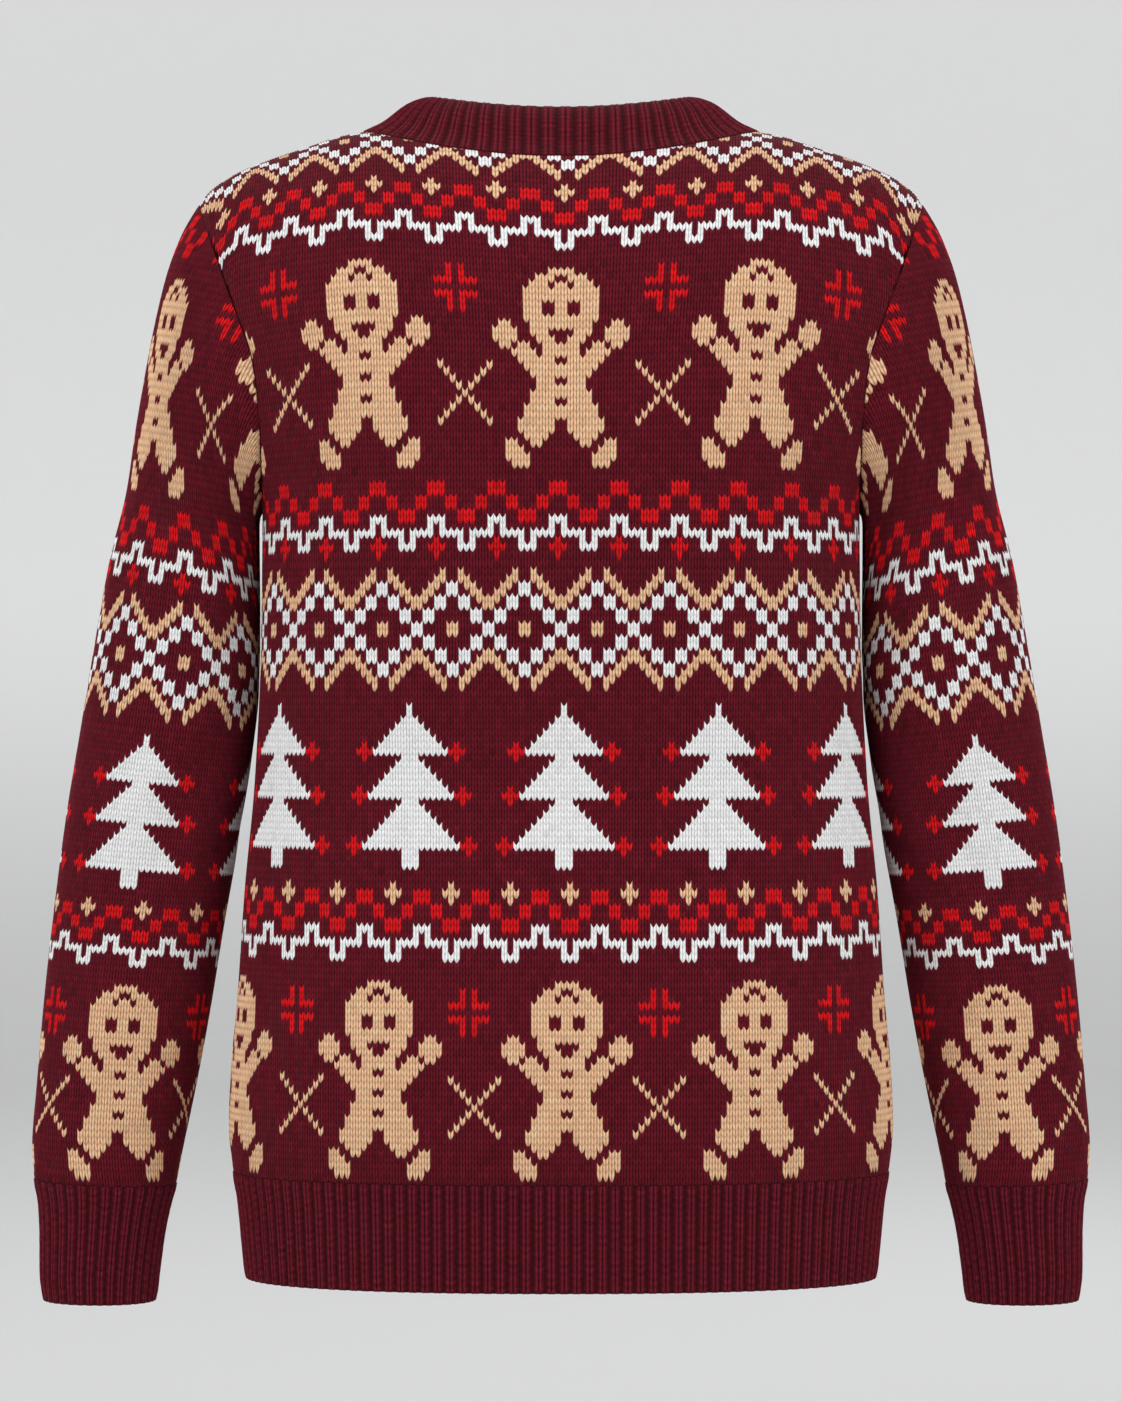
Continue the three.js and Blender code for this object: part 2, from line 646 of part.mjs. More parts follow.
// The neckband: its base follows the necklines of both panels, its top edge leans in
function neckband() {
  const stations = [];
  for (const face of [faces.back, faces.front]) {
    const inNeck = panelColumns(face).filter((across) => Math.abs(across) <= neckAcross + 1e-6);
    if (face.sign > 0) inNeck.reverse();
    for (const across of inNeck.slice(0, -1)) stations.push({ face, across });
  }
  const steps = 2 * neckRib.perStep;
  const rings = bandLevels.map(() => []);
  const throughs = [];
  const spots = stations.map(({ face, across }) => {
    const open = Math.sqrt(Math.max(0, 1 - (across / neckAcross) ** 2));
    const side = Math.sign(across) || 1;
    const top = bandTopPoint(side, face, open);
    return { base: topPoint(face, across), top, through: neckMitre(face, across) };
  });
  spots.forEach((spot, i) => {
    const next = spots[(i + 1) % spots.length];
    const before = spots[(i + spots.length - 1) % spots.length];
    spot.tangent = unit(next.base.clone().sub(before.base));
  });
  spots.forEach((spot, i) => {
    const next = spots[(i + 1) % spots.length];
    for (let k = 0; k < steps; k++) {
      const t = k / steps;
      const base = spot.base.clone().lerp(next.base, t);
      const top = spot.top.clone().lerp(next.top, t);
      const through = spot.through.clone().lerp(next.through, t);
      const tangent = spot.tangent.clone().lerp(next.tangent, t);
      const up = top.clone().sub(base);
      const out = unit(tangent.clone().cross(up));
      const shift = seamShift(tangent, through, up);
      throughs.push(through);
      bandLevels.forEach((level, r) => {
        const p = base.clone().lerp(top, level);
        p.addScaledVector(out, bandBulge * Math.sin(Math.PI * level));
        if (r === 0) p.addScaledVector(shift, neckSeamExtra);
        rings[r].push(p);
      });
    }
  });
  const normals = gridNormals(rings, true, true);
  normals[0] = throughs;
  const outer = rings.map((row, r) => row.map((p, c) => p.clone().addScaledVector(normals[r][c],
    c % 2 ? 0 : neckRib.height)));
  const inner = rings.map((row, r) => row
    .map((p, c) => p.clone().addScaledVector(normals[r][c], r ? -bandWall : -wall))
    .filter((_, c) => c % neckRib.coarse === 0));
  return tube(outer, inner, true);
}

// The same piece on the other side of the body
function mirrored(geometry) {
  const made = geometry.clone();
  const positions = made.getAttribute('position');
  for (let i = 0; i < positions.count; i++) positions.setX(i, -positions.getX(i));
  const index = made.getIndex().array;
  for (let i = 0; i < index.length; i += 3) [index[i + 1], index[i + 2]] = [index[i + 2], index[i + 1]];
  made.computeVertexNormals();
  return made;
}

const knit = new THREE.MeshStandardMaterial({ color: 0x581220, roughness: 0.92, metalness: 0 });
const ribbing = new THREE.MeshStandardMaterial({ color: 0x611426, roughness: 0.9, metalness: 0 });

const group = new THREE.Group();
function addPiece(name, geometry, material) {
  const mesh = new THREE.Mesh(geometry, material.clone());
  mesh.name = name;
  group.add(mesh);
}

const cuffShape = cuff();
addPiece('back_panel', bodyPanel(faces.back), knit);
addPiece('front_panel', bodyPanel(faces.front), knit);
addPiece('sleeve_right', sleeve(sleeveFolds.right), knit);
addPiece('sleeve_left', mirrored(sleeve(sleeveFolds.left)), knit);
addPiece('neckband', neckband(), ribbing);
addPiece('hem_band', hemBand(), ribbing);
addPiece('cuff_right', cuffShape, ribbing);
addPiece('cuff_left', mirrored(cuffShape), ribbing);

export default group;
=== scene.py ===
import math

import bpy
import numpy as np
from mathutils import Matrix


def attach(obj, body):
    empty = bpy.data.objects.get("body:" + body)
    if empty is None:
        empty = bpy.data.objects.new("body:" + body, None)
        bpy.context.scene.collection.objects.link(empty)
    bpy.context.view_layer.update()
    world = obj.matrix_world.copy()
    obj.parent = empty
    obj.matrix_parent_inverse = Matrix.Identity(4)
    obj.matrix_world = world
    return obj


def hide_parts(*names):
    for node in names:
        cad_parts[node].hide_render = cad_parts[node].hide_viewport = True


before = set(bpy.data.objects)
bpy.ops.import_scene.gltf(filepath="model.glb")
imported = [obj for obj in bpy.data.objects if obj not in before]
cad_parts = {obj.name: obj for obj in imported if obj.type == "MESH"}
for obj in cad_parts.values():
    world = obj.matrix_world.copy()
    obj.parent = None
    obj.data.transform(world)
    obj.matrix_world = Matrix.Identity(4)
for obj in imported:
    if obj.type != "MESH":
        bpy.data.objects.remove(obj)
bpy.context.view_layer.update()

# What a user would change. Lengths in the tables are millimetres, as in the CAD.
camera = {"distance": 3.0, "height": -0.3294, "angle": 15.44}
# The floor's colour is darker than the wall's, as painted shade that evens out the stronger light on the
# floor
studio = {
    "radius": 7.0, "height": 3.4, "floorHeight": -0.95, "curve": 1.6, "paleFrom": 0.55,
    "floor": (0.62, 0.62, 0.62), "wall": (0.90, 0.90, 0.90), "sky": 0.90, "skyColour": (0.99, 0.995, 1.0),
}
# place and size in metres and power in watts of each light; all of them point at the sweater's middle
lights = {
    "keyLight": ((-1.5, -2.6, 1.3), 1.6, 27),
    "fillLight": ((1.9, -2.5, 0.6), 1.6, 17),
    "backLight": ((1.1, 2.8, 1.5), 1.8, 20),
    "sideLight": ((-2.6, 1.4, 1.2), 1.6, 10),
}
lightTarget = (0, 0, -0.33)
yarns = {
    "ground": (0.152, 0.0078, 0.0185),
    "red": (0.80, 0.0088, 0.014),
    "tan": (1.0, 0.60, 0.355),
    "white": (0.98, 0.98, 0.985),
    "rib": (0.120, 0.0066, 0.0155),
}
# how far each yarn's stitches differ from one another, and the inside's share of the yarn's colour
yarnSpread = {"ground": 0.10, "red": 0.07, "tan": 0.05, "white": 0.035}
insideShade = 0.8
# depth is how dark the painted shade in the stitches' hollows gets
looks = {
    "jacquard": {"depth": 1.0, "heather": 0.7, "bump": 0.9, "roughness": 0.9, "sheen": 0.06},
    "rib": {"depth": 0.75, "heather": 0.7, "bump": 0.6, "roughness": 0.9, "sheen": 0.06},
}
sheenTint = (0.8, 0.35, 0.35, 1)
knit = {
    "wall": 2.2, "leg": 0.58, "hollow": 0.16, "sink": 0.15, "hook": 0.66, "hookCurve": 1.4,
    "seamDip": 0.35, "seamWidth": 1.8, "seamFlat": 0.8, "longest": 7.0,
}
stitchWide, stitchTall = 3.5, 4.0
seamGap = 0.3
ribs = {
    "hem": {"count": 133, "height": 1.35, "wall": 2.6, "rows": 26, "droop": 0.15},
    "cuff": {"count": 36, "height": 1.25, "wall": 2.6, "rows": 26, "droop": 0.15},
    "neck": {"count": 72, "height": 1.3, "wall": 2.6, "rows": 20, "droop": 0.15},
}
ribYarn = {"wobble": 0.04, "beads": 0.10, "spread": 0.06}

underarmZ, tipZ, hemSeamZ = -215.0, -42.0, -601.5
yokeZ = (underarmZ + tipZ) / 2
armholeHalf = (tipZ - underarmZ) / 2
shoulderTipX, neckHalfWidth = 209.5, 115.0
neckAcross = neckHalfWidth / shoulderTipX
squareness, sleeveSquareness = 2.3, 2.1
faces = {
    "back": {
        "sign": -1, "reach": 60, "neckReach": 70, "neckCurve": 2, "bandReach": 44, "bandZ": 10,
        "bandCurve": 1.8,
    },
    "front": {
        "sign": 1, "reach": 58, "neckReach": 108, "neckCurve": 2.6, "bandReach": 82, "bandZ": -34,
        "bandCurve": 1.45,
    },
}
# height: half width, how far the back and the front stand out
bodyRows = [
    (-601.5, 189.5, 100, 101), (-575, 192, 105, 105), (-540, 190.5, 106, 107), (-500, 187, 103, 108),
    (-440, 183, 96, 108), (-375, 177, 92, 109), (-300, 173.5, 99, 114), (-215, 172.5, 111, 121),
    (-170, 172.5, 114, 122), (-128.5, 172.5, 112, 117),
]
# height: sideways place of the armhole seam on the back and on the front
armholeRows = [
    (-215, 172.5, 172.5), (-195, 172, 171), (-179, 172, 169.5), (-159, 173, 169), (-139, 175, 171),
    (-128.5, 177.5, 173.5),
]
# sideways place: height of the shoulder seam
ridgeRows = [
    (0, 10), (40, 8.4), (80, 4.8), (115, 0), (128, -2.6), (152, -10.4), (170, -16.5), (189, -24.5),
    (203, -34), (209.5, -42),
]
# outer x and z, inner x and z, half depth, how far forward, share of the armhole's bend
sleeveRows = [
    (209.5, -42, 172.5, -215, 60, 0, 1), (219, -58, 175, -222, 61, 2, 0.75),
    (227.5, -79, 176, -229, 61, 5, 0.5), (234.5, -105, 176, -238, 60, 9, 0.28),
    (241, -136, 176, -249, 58.5, 13, 0.12), (247.4, -171, 176, -262, 57, 17, 0.04),
    (253, -207, 176, -277, 55.5, 20, 0), (263, -247, 176, -296, 54, 22, 0),
    (271.4, -292, 177, -325, 53, 25, 0), (280, -342, 181.5, -362, 51.5, 28, 0),
    (289, -395, 188.5, -408, 50, 30, 0), (296.3, -449, 197.7, -459, 48.5, 32, 0),
    (302.5, -504, 206.4, -512, 47, 33, 0), (307, -555, 215.5, -560, 44.5, 34, 0),
    (309.6, -588, 222, -591, 42.5, 34, 0), (308.5, -609, 226, -612, 40, 34, 0),
]
bicepsRow = 6
cuffRows = [
    (308.5, -609, 226, -612, 40, 34), (305.5, -624, 230.2, -626, 37, 34),
    (304.6, -643, 233.8, -644, 35, 34), (304.6, -662, 236.3, -663, 34, 34),
    (303, -680, 238.3, -680.5, 32.5, 34),
]
hemRows = [
    (-601.5, 189.5, 100, 101), (-617, 186.5, 98, 99), (-642, 184, 96.5, 97.5), (-662.5, 182, 95, 96),
]
# the neckband's top edge, and how its wall curves between the seam and that edge
bandTop = {"halfWidth": 75.5, "sideZ": 20, "bulge": 0.8, "sway": 1.5}
# place, height, lean, length, width and depth of each fold; a negative depth is a soft ridge
bodyFolds = {
    "back": [
        (128, -236, 0.9, 62, 20, 3.2), (-134, -250, -0.8, 54, 18, 2.8), (96, -392, 0.35, 80, 24, 2.2),
        (-110, -372, -0.3, 70, 22, 2.4),
        (150, -262, 1.0, 34, 9, 1.6), (-151, -238, -1.0, 30, 8, 1.5), (143, -205, 0.7, 26, 8, -1.0),
        (-146, -284, -0.9, 32, 9, -1.0), (158, -418, 0.5, 46, 12, 1.6), (-160, -400, -0.45, 50, 12, 1.7),
        (60, -300, 0.15, 60, 20, -0.9), (-38, -420, 0.1, 90, 26, 1.0), (10, -560, 0.05, 34, 22, 1.0),
        (-92, -572, 0.12, 26, 12, 1.1), (104, -570, -0.12, 28, 13, 1.1),
    ],
    "front": [
        (130, -232, 0.9, 58, 19, 3.0), (-126, -244, -0.8, 60, 20, 3.0), (40, -480, 0.2, 85, 26, 2.2),
        (148, -258, 1.0, 32, 9, 1.5), (-149, -246, -1.0, 34, 9, 1.6), (-70, -440, -0.3, 60, 18, 1.6),
        (150, -420, 0.5, 46, 12, 1.5), (-154, -398, -0.5, 44, 12, 1.6), (20, -250, 0.1, 60, 24, -1.0),
        (-84, -570, 0.1, 28, 13, 1.1), (96, -574, -0.12, 26, 12, 1.1),
    ],
}
# turn from the outer edge in degrees in place of the sideways place
sleeveFolds = {
    "right": [
        (147, -286, 0.6, 40, 15, 2.8), (110, -384, 0.3, 52, 18, 3.0), (232, -340, -0.5, 44, 17, 3.0),
        (86, -546, 0.3, 42, 16, 2.4), (243, -560, -0.2, 40, 16, 2.4),
        (158, -334, 0.8, 26, 8, 1.5), (122, -330, 0.6, 30, 9, -1.1), (94, -430, 0.5, 34, 9, 1.2),
        (146, -420, 0.7, 26, 8, 1.3), (56, -486, 0.3, 40, 14, 1.0), (204, -412, -0.6, 30, 9, 1.4),
        (296, -372, 0.3, 46, 14, 1.2), (114, -582, 1.3, 26, 7, 1.2), (66, -588, 1.2, 30, 7, 1.1),
        (246, -586, 1.3, 30, 8, 1.2),
    ],
    "left": [
        (138, -292, 0.5, 42, 16, 3.0), (118, -372, 0.35, 48, 18, 3.2), (226, -350, -0.4, 46, 17, 3.0),
        (92, -556, 0.2, 44, 16, 2.4), (250, -548, -0.2, 40, 16, 2.4),
        (150, -330, 0.8, 26, 8, 1.5), (128, -338, 0.6, 30, 9, -1.1), (100, -420, 0.5, 34, 9, 1.2),
        (152, -412, 0.7, 26, 8, 1.3), (60, -470, 0.3, 40, 14, 1.0), (200, -420, -0.6, 30, 9, 1.4),
        (300, -380, 0.3, 46, 14, 1.2), (120, -580, 1.3, 26, 7, 1.2), (70, -590, 1.2, 30, 7, 1.1),
        (240, -584, 1.3, 30, 8, 1.2),
    ],
}
# millimetres round the arm for a degree of turn
foldArc = 50 * math.pi / 180

# Courses are counted down from over the shoulder, wales sideways from the middle
lastCourse = 168
levelCourse, levelZ = 66.06, -213.0
courseRows = [
    (66.06, -213), (75, -247.2), (76, -253.7), (94, -321.5), (96, -330), (122, -422.3), (124, -430.2),
    (135, -474.1), (138, -485.8), (167, -595.5), (168, -601.5),
]
rowPitch = [(0, 3.85), (0.549, 4.07), (1, 3.83)]
walePitch = [(-601.5, 3.35), (-460, 3.35), (-380, 3.36), (-290, 3.40), (-213, 3.44), (-128.5, 3.48)]
# wale: sideways place on the shoulder, where the middle wales spread and the outer ones close up
shoulderWales = [
    (0, 0), (10, 39.5), (20, 77), (30, 110), (40, 140), (50, 169), (60, 196), (65.2, 209.5), (80, 248),
]
sleeveCourses = [
    (10, 5), (33, -94), (62, -214), (64, -221.5), (75, -266.8), (76, -271), (94, -339.2), (96, -348.9),
    (122, -436.2), (124, -443.6), (135, -481), (138, -492.4), (167, -604), (168, -610.5),
]
sleeveTilt = [(-610, 0.036), (-450, 0.06), (-330, 0.12), (-250, 0.2), (-150, 0.22), (-60, 0.25)]
sleevePitch = [
    (-610, 3.32), (-400, 3.38), (-300, 3.4), (-245, 3.25), (-205, 2.95), (-167, 2.56), (-130, 2.33),
    (-106, 2.2), (-70, 2.05), (0, 1.95),
]
# height: sideways place of the sleeve's middle, about which its courses tilt
sleeveMiddle = [(-610.5, 267.2), (-508, 254.5), (-308.5, 224.2), (-242, 214.5), (-128.5, 191), (-40, 180)]

# Charts. A man's rows run from its middle outwards, and its other half mirrors them.
manRows = """
TT.........
.TTT.......
T.TTT......
TTTTTT.....
TTTTTT.....
T..TTT.....
T..TTT.....
TTTTTT.....
TTTTT...TT.
..TTT..TTTT
.TTT...TTTT
TTT..TT.TT.
TTT.TTTT...
.TTTTTT....
TTTTTT.....
TTTTT......
.TTT.......
TTTT.......
TTTTT......
.TTTT......
TTTTTT.....
TTTTTT.....
.TTTTTT....
.TTTTTT....
..TTTT.....
...TT..TT..
......TTT..
.....TTTT..
.....TTT...
""".split()
flakeRows = ["..R.R..", "..R.R..", "RRR.RRR", ".......", "RRR.RRR", "..R.R..", "..R.R.."]
crossRows = [".X.", "XXX", ".X."]
saltireRows = ["".join("X" if abs(c - 4) == abs(r - 4) else "." for c in range(9)) for r in range(9)]
# Half widths of the tree's rows, without the middle wale, and the rows of its three tips
treeRows = [0, 0, 1, 2, 3, 4, 5, 6, 1, 2, 3, 4, 5, 6, 7, 1, 2, 3, 4, 5, 6, 7, 8, 1, 1, 1]
treeTips = [(7, 8), (14, 9), (22, 10)]
# first course of each band, and in the layouts the wales of its repeats
starts = {
    "lozengeTop": 0, "waveTop": 19, "men": 33, "wave": 64, "lozenge": 76, "trees": 96, "waveLow": 124,
    "menLow": 138,
}
bodyLayout = {
    "topDrop": 0, "lozengeTop": 1, "waveTop": 0, "wave": 4, "lozenge": 6, "waveLow": 1,
    "men": [-64, -32, 0, 32, 64], "flakes": [-80, -47, -17, 16, 46, 79],
    "crosses": [-79, -47, -16, 16, 47, 79], "trees": [-78, -52, -26, 0, 26, 52, 78],
    "menLow": [-63, -31, 1, 33, 65], "flakesLow": [-79, -47, -16, 16, 48, 80],
    "crossesLow": [-78, -46, -15, 16, 48, 80],
}
sleeveLayout = {
    "topDrop": 4, "lozengeTop": 2, "waveTop": 4, "wave": 9, "lozenge": 2, "waveLow": 4,
    "men": [-49, -17, 16, 48], "flakes": [-34, 0, 33, 66], "crosses": [-34, 0, 33, 66],
    "trees": [-57, -31, -5, 21, 47],
    "menLow": [-61, -33, -5, 23, 51], "flakesLow": [-47, -19, 8, 38], "crossesLow": [-47, -19, 9, 37],
}
yarnIndex = {name: k for k, name in enumerate(yarnSpread)}
bodyHalf, sleeveHalf = 80, 84


class Smooth:
    # A smooth curve through rows of a table that never overshoots a row
    def __init__(self, keys, values):
        order = np.argsort(keys)
        self.x = np.array(keys, float)[order]
        self.y = np.array(values, float)[order]
        rates = np.diff(self.y) / np.diff(self.x)
        slopes = np.zeros(len(self.x))
        slopes[0], slopes[-1] = rates[0], rates[-1]
        for i in range(1, len(self.x) - 1):
            a, b = rates[i - 1], rates[i]
            slopes[i] = 0 if a * b <= 0 else 2 * a * b / (a + b)
        self.slopes = slopes

    def __call__(self, value):
        value = np.asarray(value, float)
        i = np.clip(np.searchsorted(self.x, value, side="right") - 1, 0, len(self.x) - 2)
        width = self.x[i + 1] - self.x[i]
        t = np.clip((value - self.x[i]) / width, 0, 1)
        return (self.y[i] * (1 + 2 * t) * (1 - t) ** 2 + self.y[i + 1] * t * t * (3 - 2 * t)
                + width * (self.slopes[i] * t * (1 - t) ** 2 - self.slopes[i + 1] * t * t * (1 - t)))


def column(rows, key, value):
    return Smooth([row[key] for row in rows], [row[value] for row in rows])


def linear(rows):
    rows = sorted(rows)
    return lambda value: np.interp(value, [row[0] for row in rows], [row[1] for row in rows])


def lengths(points):
    # How far along a line each of its points lies
    return np.concatenate([[0], np.cumsum(np.linalg.norm(np.diff(points, axis=0), axis=1))])


def placesAt(wanted, known, points):
    # Points between those of a line
    return np.stack([np.interp(wanted, known, points[:, k]) for k in range(3)], axis=-1)


def closed(loop):
    return np.concatenate([loop, loop[:1]])


bodyWidth = column(bodyRows, 0, 1)
bodyDepth = {"back": column(bodyRows, 0, 2), "front": column(bodyRows, 0, 3)}
armholeX = {"back": column(armholeRows, 0, 1), "front": column(armholeRows, 0, 2)}
ridgeZ = column(ridgeRows, 0, 1)
shoulderShare = linear([(wale, x / shoulderTipX) for wale, x in shoulderWales])
courseZ = linear(courseRows)
pitchAt = linear(walePitch)
rowPitchAt = linear(rowPitch)
sleeveCourseZ = linear(sleeveCourses)
sleeveTiltAt = linear(sleeveTilt)
sleevePitchAt = linear(sleevePitch)
sleeveMiddleX = linear(sleeveMiddle)
sleeveColumnsOf = [Smooth(range(len(sleeveRows)), [row[k] for row in sleeveRows]) for k in range(7)]


def foldDepth(folds, across, up, scale):
    # How far the folds press a surface in; scale is millimetres for one unit of across
    depth = np.zeros(np.broadcast(across, up).shape)
    for place, height, lean, length, width, deep in folds:
        dx = (across - place) * scale
        dz = up - height
        along = dx * math.sin(lean) + dz * math.cos(lean)
        off = dx * math.cos(lean) - dz * math.sin(lean)
        depth = depth + deep * np.exp(-((off / width) ** 2) - (along / length) ** 2)
    return depth


def section(face, z, width=None, depth=None):
    # Half of a level section from the middle out to its edge: x, y and the length so far
    side = faces[face]
    end = math.pi / 2
    if width is None:
        width, depth = float(bodyWidth(z)), float(bodyDepth[face](z))
        if z > underarmZ:
            width = float(armholeX[face](z))
            edgeY = side["reach"] * math.sqrt(max(0, 1 - ((yokeZ - z) / armholeHalf) ** 2))
            end = math.acos((edgeY / depth) ** (squareness / 2))
    turn = np.linspace(0, end, 161)
    x = width * (np.sin(turn) / math.sin(end)) ** (2 / squareness)
    y = side["sign"] * depth * np.maximum(0, np.cos(turn)) ** (2 / squareness)
    length = np.concatenate([[0], np.cumsum(np.hypot(np.diff(x), np.diff(y)))])
    return x, y, length


def onSection(face, line, z, reach, sign):
    # Points at lengths along a section, on the side that sign gives, with the folds pressed in
    x, y, length = line
    px = np.interp(reach, length, x) * sign
    py = np.interp(reach, length, y)
    share = np.clip(reach / length[-1], 0, 1)
    press = np.maximum(0, 1 - share ** 8) * foldDepth(bodyFolds[face], px, z, 1)
    return np.stack([px, py - faces[face]["sign"] * press, np.full_like(px, z)], axis=-1)


def yokePoints(face, start, share, sign, climb):
    # From points on the yoke's level section up over the shoulder; climb is 0 there and 1 at the seam
    topX = shoulderTipX * share
    curve = faces[face]["neckCurve"]
    opened = np.maximum(0, 1 - (topX / neckHalfWidth) ** curve) ** (1 / curve)
    full = np.arccos(np.clip(faces[face]["neckReach"] * opened / np.abs(start[:, 1]), -1, 1))
    turn = full * climb
    sx = np.abs(start[:, 0])
    x = sx + (topX - sx) * np.sin(turn) / np.sin(full)
    z = yokeZ + (ridgeZ(topX) - yokeZ) * np.sin(turn)
    return np.stack([sign * x, start[:, 1] * np.cos(turn), z], axis=-1)


beyond = 1e4


def panelGrid(face, wales, courses):
    # Places of a body panel's wales (columns) and courses (rows), with the distance to its edges.
    # Two more wales lie past all others and follow the panel's two edges.
    wales = np.asarray(wales, float)
    count = len(wales)
    size = np.concatenate([np.abs(wales), [beyond, beyond]])
    sign = np.concatenate([np.where(wales < 0, -1.0, 1.0), [-1.0, 1.0]])
    lowSteps = 60
    levels = np.concatenate([np.linspace(hemSeamZ, levelZ, lowSteps), np.linspace(levelZ, yokeZ, 26)[1:]])
    path, spare = [], []
    for z in levels:
        line = section(face, z)
        reach = np.minimum(size * float(pitchAt(z)), line[2][-1])
        path.append(onSection(face, line, z, reach, sign))
        spare.append(line[2][-1] - size * float(pitchAt(z)))
    line = section(face, yokeZ)
    whole = line[2][-1]
    low = size * float(pitchAt(yokeZ)) / whole
    high = np.where(size == beyond, beyond / 10, shoulderShare(size))
    share = np.minimum(high, 1)
    for climb in np.linspace(0, 1, 41)[1:]:
        # The wales spread from the yoke's places to the shoulder's over three quarters of the climb
        turned = min(1, climb / 0.75)
        turned = turned * turned * (3 - 2 * turned)
        wide = low + (high - low) * turned
        at = np.minimum(wide, 1)
        start = onSection(face, line, yokeZ, at * whole, sign)
        path.append(yokePoints(face, start, at, sign, climb))
        spare.append((1 - wide) * whole)
    path, spare = np.array(path), np.array(spare)
    steps = np.linalg.norm(np.diff(path, axis=0), axis=2)
    length = np.concatenate([np.zeros((1, len(size))), np.cumsum(steps, axis=0)])
    length = length - length[lowSteps - 1]

    def climbed(rows, c):
        # Below the armhole a course has its height, and above it a length over the shoulder
        low = np.interp(courseZ(rows), levels[:lowSteps], length[:lowSteps, c])
        return np.where(rows < levelCourse, (levelCourse - rows) * float(rowPitchAt(share[c])), low)

    edges = np.where(sign[:count] < 0, count, count + 1)
    return fillGrid(wales, courses, climbed, length, path, spare, edges)


def fillGrid(wales, courses, climbed, run, path, spare, edges):
    # Reads each course's place off its wale's path, where climbed says how far up the path it lies
    count = len(wales)
    flatRows = np.round(courses if np.ndim(courses) == 1 else courses[:, 0])
    points = np.zeros((len(flatRows), path.shape[1], 3))
    fromTop, fromEdge = np.zeros(points.shape[:2]), np.zeros(points.shape[:2])
    past = np.zeros(points.shape[:2], bool)
    for c in range(path.shape[1]):
        rows = courses[:, c] if np.ndim(courses) == 2 and c < count else flatRows
        up = climbed(rows, c)
        points[:, c] = placesAt(up, run[:, c], path[:, c])
        fromTop[:, c] = run[-1, c] - up
        fromEdge[:, c] = np.interp(up, run[:, c], spare[:, c])
        past[:, c] = np.interp(climbed(flatRows, c), run[:, c], spare[:, c]) <= 1e-6
    points = closeEdges(points, past, edges, wales)
    return points[:, :count], fromTop[:, :count], fromEdge[:, :count]


def closeEdges(points, past, edges, wales):
    # What lies past a panel's edge takes the edge's own place, from the first wale past it outwards
    middle = int(np.argmin(np.abs(wales)))
    for c in range(middle + 1, len(wales)):
        past[:, c] |= past[:, c - 1]
    for c in range(middle - 1, -1, -1):
        past[:, c] |= past[:, c + 1]
    for c in range(len(wales)):
        points[past[:, c], c] = points[past[:, c], edges[c]]
    return points


def armholePoint(turn):
    # A point of the armhole's edge, at a turn in degrees from the shoulder tip towards the back
    around = turn % 360
    face = "back" if around <= 180 else "front"
    fromTip = around if around <= 180 else 360 - around
    if fromTip < 90:
        z = yokeZ
        line = section(face, z)
        start = onSection(face, line, z, np.array([line[2][-1]]), np.array([1.0]))
        return yokePoints(face, start, np.array([1.0]), np.array([1.0]), 1 - fromTip / 90)[0]
    z = yokeZ + armholeHalf * math.cos(math.radians(fromTip))
    line = section(face, z)
    return onSection(face, line, z, np.array([line[2][-1]]), np.array([1.0]))[0]


def flatSection(row, turn, power=2 / sleeveSquareness):
    # A sleeve's or cuff's section at turns from its outer edge towards the back, before the folds
    c = np.sign(np.cos(turn)) * np.abs(np.cos(turn)) ** power
    s = np.sign(np.sin(turn)) * np.abs(np.sin(turn)) ** power
    outX, outZ, inX, inZ, halfDepth, forward = row[:6]
    return np.stack([
        (outX + inX) / 2 + (outX - inX) / 2 * c,
        forward - halfDepth * s,
        (outZ + inZ) / 2 + (outZ - inZ) / 2 * c,
    ], axis=-1)


armholeTurns = np.arange(-180, 181, 3)
armholeTable = np.array([armholePoint(turn) for turn in armholeTurns])


def sleevePoints(level, turn, folds):
    # Places of a sleeve section at turns in radians from its outer edge towards the back
    row = [float(column(level)) for column in sleeveColumnsOf]
    flat = flatSection(row, turn)
    if row[6] > 0:
        hole = placesAt(np.degrees(turn), armholeTurns, armholeTable)
        flat = flat + row[6] * (hole - flatSection(sleeveRows[0], turn))
    middle = np.array([(row[0] + row[2]) / 2, row[5], (row[1] + row[3]) / 2])
    out = flat - middle
    out /= np.linalg.norm(out, axis=-1, keepdims=True)
    press = (1 - row[6]) * foldDepth(folds, np.degrees(turn) % 360, flat[:, 2], foldArc)
    return flat - out * press[:, None]


